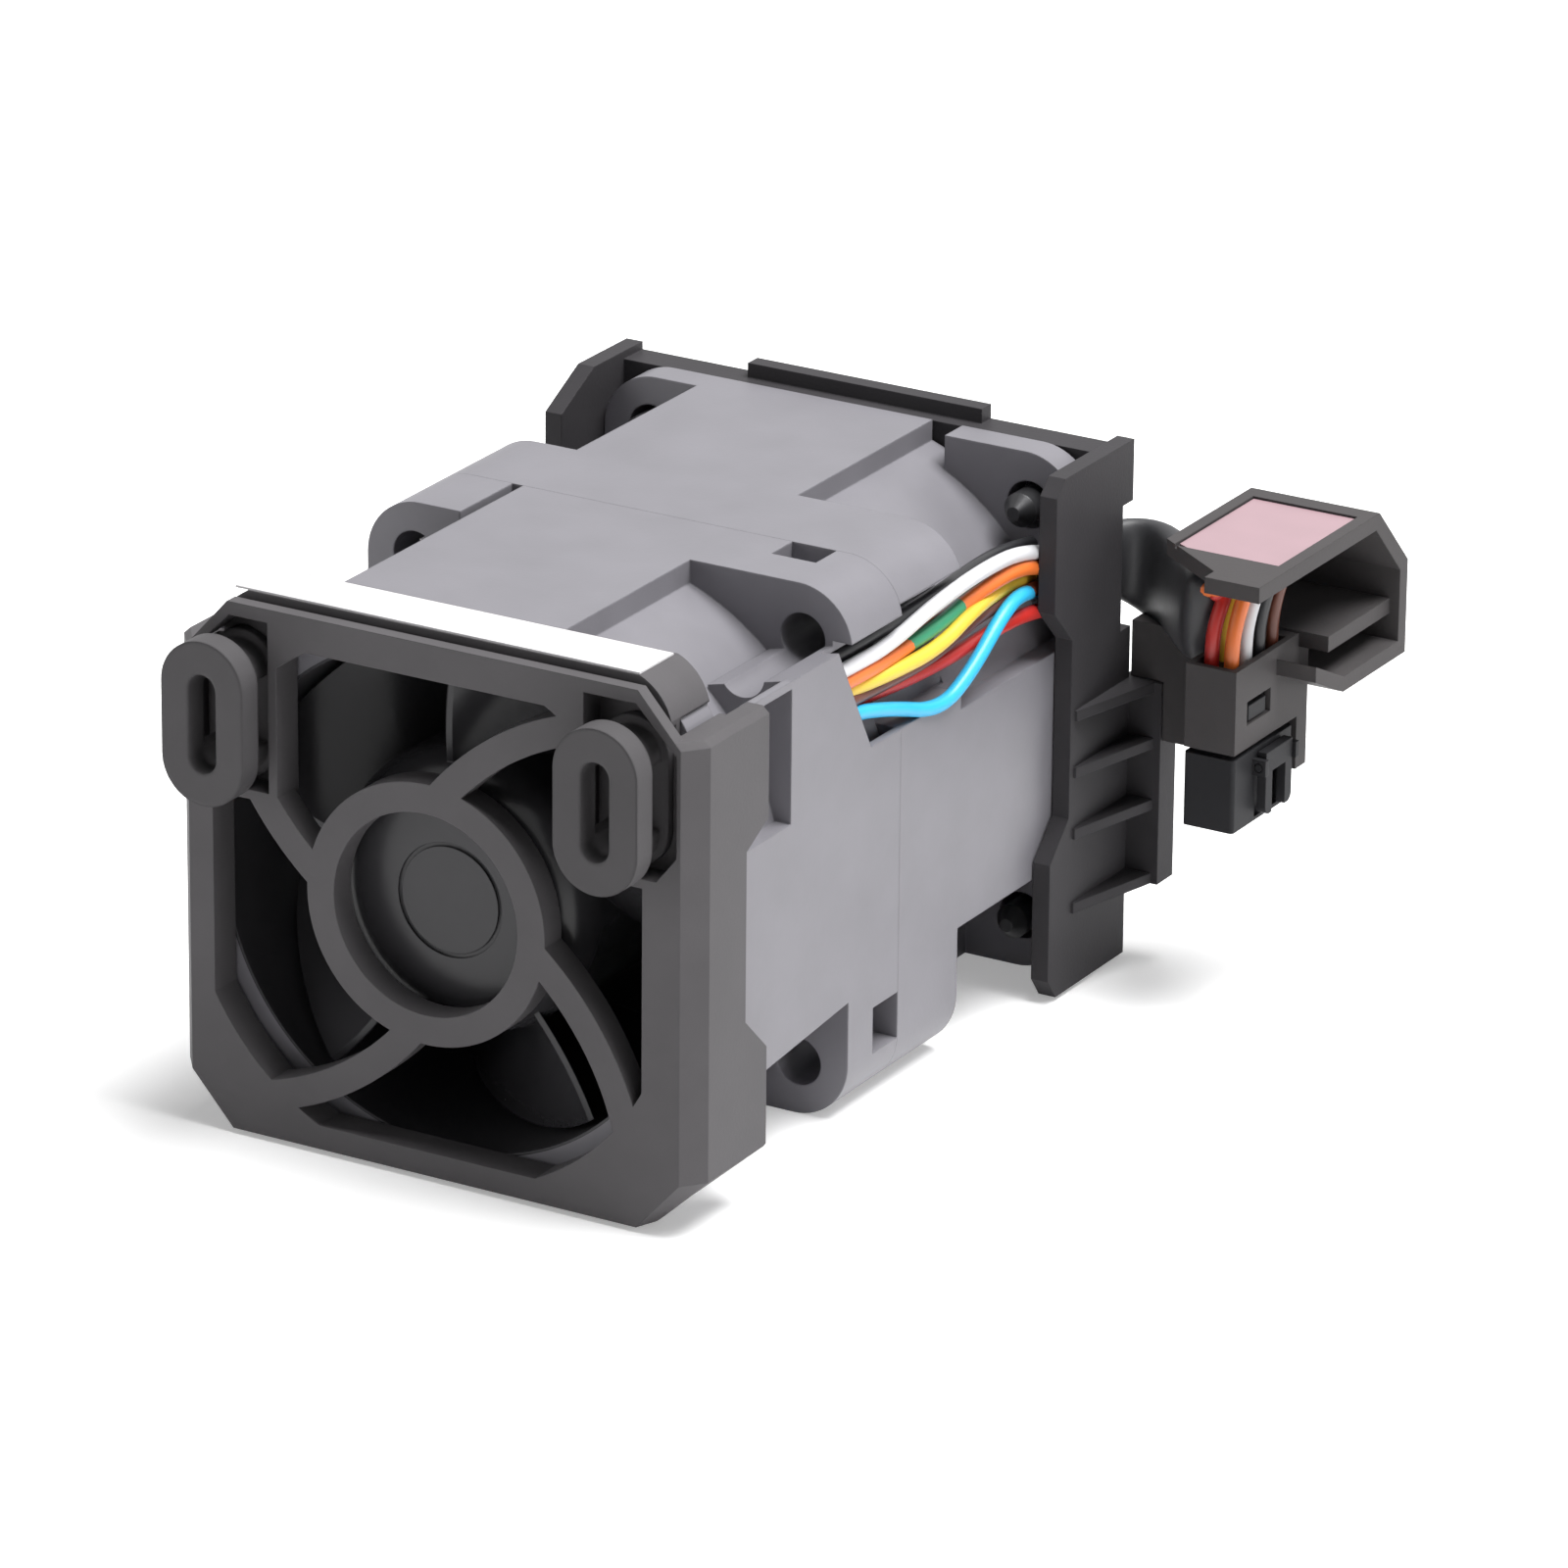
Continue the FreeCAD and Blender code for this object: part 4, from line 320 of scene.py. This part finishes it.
# ---- wires ----------------------------------------------------------------------------------
# Everything here is in millimetres. A run goes from the front half's wire outlet to the mouth of the
# sleeve, as the part's own wire does. A lead goes from the sleeve's end down into the plug. Its
# contact follows the order of colours seen there, so it may be 6 mm from the part's own wire's.
WIRE_DIAMETER = 1.1
LINE_STEPS = 8               # smoothness of a wire along its length and round its section
ROUND_STEPS = 4
RUNS = {
    "black": [(17.7, -10.4, 34.4), (17.8, -6, 34.4), (18.5, -1, 35.0), (19.0, 6, 35.5), (19.0, 13, 36.0),
              (18.6, 18, 35.4), (18.4, 21.4, 34.7)],
    "white": [(18.8, -10.4, 33.9), (18.9, -6, 33.9), (19.4, -1, 34.1), (19.8, 5, 35.5), (19.9, 12, 36.0),
              (19.6, 18, 35.4), (19.4, 21.4, 34.2)],
    "green": [(17.8, -10.4, 33.2), (17.9, -6, 33.2), (18.9, 0, 32.9), (19.5, 5.5, 33.4), (19.3, 12, 34.2),
              (18.8, 18, 34.0), (18.4, 21.4, 33.4)],
    "orange": [(18.8, -10.4, 32.7), (18.9, -6, 32.9), (19.3, -1, 33.0), (19.0, 6, 33.2), (19.7, 12, 34.4),
               (19.8, 18, 34.4), (19.4, 21.4, 33.0)],
    "yellow": [(17.8, -10.4, 32.0), (18.3, -6, 31.9), (19.6, -1, 32.1), (20.1, 5, 32.2), (20.1, 10, 33.5),
               (18.9, 16, 33.0), (18.4, 21.4, 32.2)],
    "brown": [(18.8, -10.4, 31.5), (18.7, -6, 31.3), (18.7, -1, 31.0), (19.0, 6, 31.0), (19.3, 11, 32.2),
              (19.2, 16, 32.2), (19.4, 21.4, 31.7)],
    "red": [(17.7, -10.4, 30.7), (17.8, -6, 30.7), (18.4, 1, 30.2), (18.8, 8, 30.0), (19.5, 14, 30.6),
            (19.9, 18, 30.7), (19.4, 21.4, 29.8)],
    "blue": [(18.8, -10.4, 30.3), (18.8, -6, 30.5), (19.5, -1, 29.5), (20.0, 5.4, 27.3), (20.3, 9.4, 29.0),
             (20.3, 14.5, 32.4), (19.9, 18, 32.4), (18.6, 21.4, 31.0)],
}
PLUG_X = (32.35, 33.95)      # the plug's two rows of contacts
PLUG_Y = (23.1, 25.1, 27.1, 29.1)
LEAD_FOOT = 21.0             # a lead ends this high, in its contact
LEAD_OUT = (0.9, 0.1)        # how far a lead runs on out of the sleeve
ARCH_X = 31.8                # the arch under the hood: its side towards the sleeve
ARCH_RISE, ARCH_TOP = 32.4, 32.8
ARCH_ROW_STEP = 0.6          # the second row's arch is this much further out and higher
BEHIND_RISE, BEHIND_TOP, BEHIND_DROP = 1.2, 2.4, 0.4     # how far behind its contact the lead is there
DROP_HIGH, DROP_LOW = 30.6, 28.2
LEADS = {                    # row and place of each wire's contact, row of the wire in the sleeve's end
    "red": (0, 0, 0), "orange": (1, 0, 0), "yellow": (0, 1, 1), "white": (1, 1, 1),
    "green": (0, 2, 2), "black": (1, 2, 2), "blue": (0, 3, 3), "brown": (1, 3, 3),
}
SLEEVE_END = ((30.9, 25.0), (30.0, 24.4))    # where each row of leads comes out of the sleeve
SLEEVE_TOP_ROW = 32.6        # height of the sleeve's top row of wires
SLEEVE_ROW = 1.14            # and from one row to the next
SLEEVE = [                   # stations of the sleeve: centre, then height and width
    ((18.9, 21.4, 31.9), 7.0, 2.5), ((18.85, 24.6, 30.9), 5.0, 2.2), ((18.85, 30.6, 30.9), 5.0, 2.2),
    ((19.9, 33.2, 30.2), 6.6, 2.4), ((22.6, 33.7, 29.5), 8.2, 2.6), ((25.4, 31.4, 29.5), 8.2, 2.8),
    ((27.8, 28.2, 29.7), 7.6, 2.8), ((29.8, 25.5, 30.2), 7.0, 2.9), ((31.3, 23.7, 30.6), 6.4, 2.8),
]
RING = 20                    # points round the sleeve
SQUARENESS_RISE, SQUARENESS_SIDE = 0.8, 0.7      # below 1, the oval is fuller than an ellipse
SLEEVE_SMOOTHING = 2


def lead_points(row, place, level):
    """From the sleeve's end, in an arch under the hood, down into the contact."""
    x, y = PLUG_X[row], PLUG_Y[place]
    start_x, start_y = SLEEVE_END[row]
    height = SLEEVE_TOP_ROW - level * SLEEVE_ROW
    further = row * ARCH_ROW_STEP
    return [(start_x, start_y, height), (start_x + LEAD_OUT[0], start_y + LEAD_OUT[1], height),
            (ARCH_X + further, y + BEHIND_RISE, ARCH_RISE + further),
            (x, y + BEHIND_TOP, ARCH_TOP + further),
            (x, y + BEHIND_DROP, DROP_HIGH), (x, y, DROP_LOW), (x, y, LEAD_FOOT)]


def smooth_line(name, points, finish):
    """Round wire along a smooth line through the given control points."""
    curve = bpy.data.curves.new(name, "CURVE")
    curve.dimensions = "3D"
    curve.resolution_u = LINE_STEPS
    curve.bevel_depth = WIRE_DIAMETER / 2 * MM
    curve.bevel_resolution = ROUND_STEPS
    curve.use_fill_caps = True
    line = curve.splines.new("NURBS")
    line.points.add(len(points) - 1)
    for point, place in zip(line.points, points):
        point.co = (*(Vector(place) * MM), 1)
    line.order_u = 3
    line.use_endpoint_u = True
    piece = bpy.data.objects.new(name, curve)
    scene.collection.objects.link(piece)
    curve.materials.append(finish)
    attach(piece, "root")
    return piece


def fuller(value, power):
    """The value with its sign, raised to a power below 1: nearer to 1 all along."""
    return math.copysign(abs(value) ** power, value)


def add_sleeve(finish):
    """Flat oval sleeve that stands on edge, swells where it turns outwards and ends under the hood."""
    mesh = bmesh.new()
    centres = [Vector(centre) for centre, _, _ in SLEEVE]
    rings = []
    for place, (_, height, width) in enumerate(SLEEVE):
        ahead = centres[min(place + 1, len(centres) - 1)] - centres[max(place - 1, 0)]
        across = ahead.cross(Vector((0, 0, 1))).normalized()
        ring = []
        for step in range(RING):
            turn = 2 * math.pi * step / RING
            bulge = fuller(math.sin(turn), SQUARENESS_RISE) * width / 2
            rise = math.sin(turn) * (height - width) / 2 + bulge
            side = fuller(math.cos(turn), SQUARENESS_SIDE) * width / 2
            ring.append(mesh.verts.new((centres[place] + across * side + Vector((0, 0, rise))) * MM))
        rings.append(ring)
    for first, second in zip(rings, rings[1:]):
        for step in range(RING):
            after = (step + 1) % RING
            mesh.faces.new((first[step], first[after], second[after], second[step]))
    for ring in (rings[0][::-1], rings[-1]):
        mesh.faces.new(ring)
    bmesh.ops.recalc_face_normals(mesh, faces=mesh.faces)
    data = bpy.data.meshes.new("wire_sleeve")
    mesh.to_mesh(data)
    mesh.free()
    data.materials.append(finish)
    data.polygons.foreach_set("use_smooth", [True] * len(data.polygons))
    piece = bpy.data.objects.new("wire_sleeve", data)
    scene.collection.objects.link(piece)
    smooth = piece.modifiers.new("smooth", "SUBSURF")
    smooth.levels = SLEEVE_SMOOTHING
    smooth.render_levels = SLEEVE_SMOOTHING
    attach(piece, "root")
    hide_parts("cable_sleeve")


def add_wires(finishes):
    """Each wire is a smooth line to the sleeve, and another from its end to the plug."""
    for colour, points in RUNS.items():
        slot = node = "wire_" + colour
        run = smooth_line("run_" + colour, points, finishes[slot])
        lead = smooth_line("lead_" + colour, lead_points(*LEADS[colour]), finishes[slot])
        for piece in (run, lead):
            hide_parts(node)


add_camera()
set_world()
add_floor()
for name, (place, size, power) in LAMPS.items():
    add_area(name, place, size, power)
finishes = dress()
frame["nodes"]["rear_screws"].data.materials[0] = material("screw_black", **FINISHES["screw_black"])
add_wires(finishes)
add_sleeve(finishes["sleeve_black"])
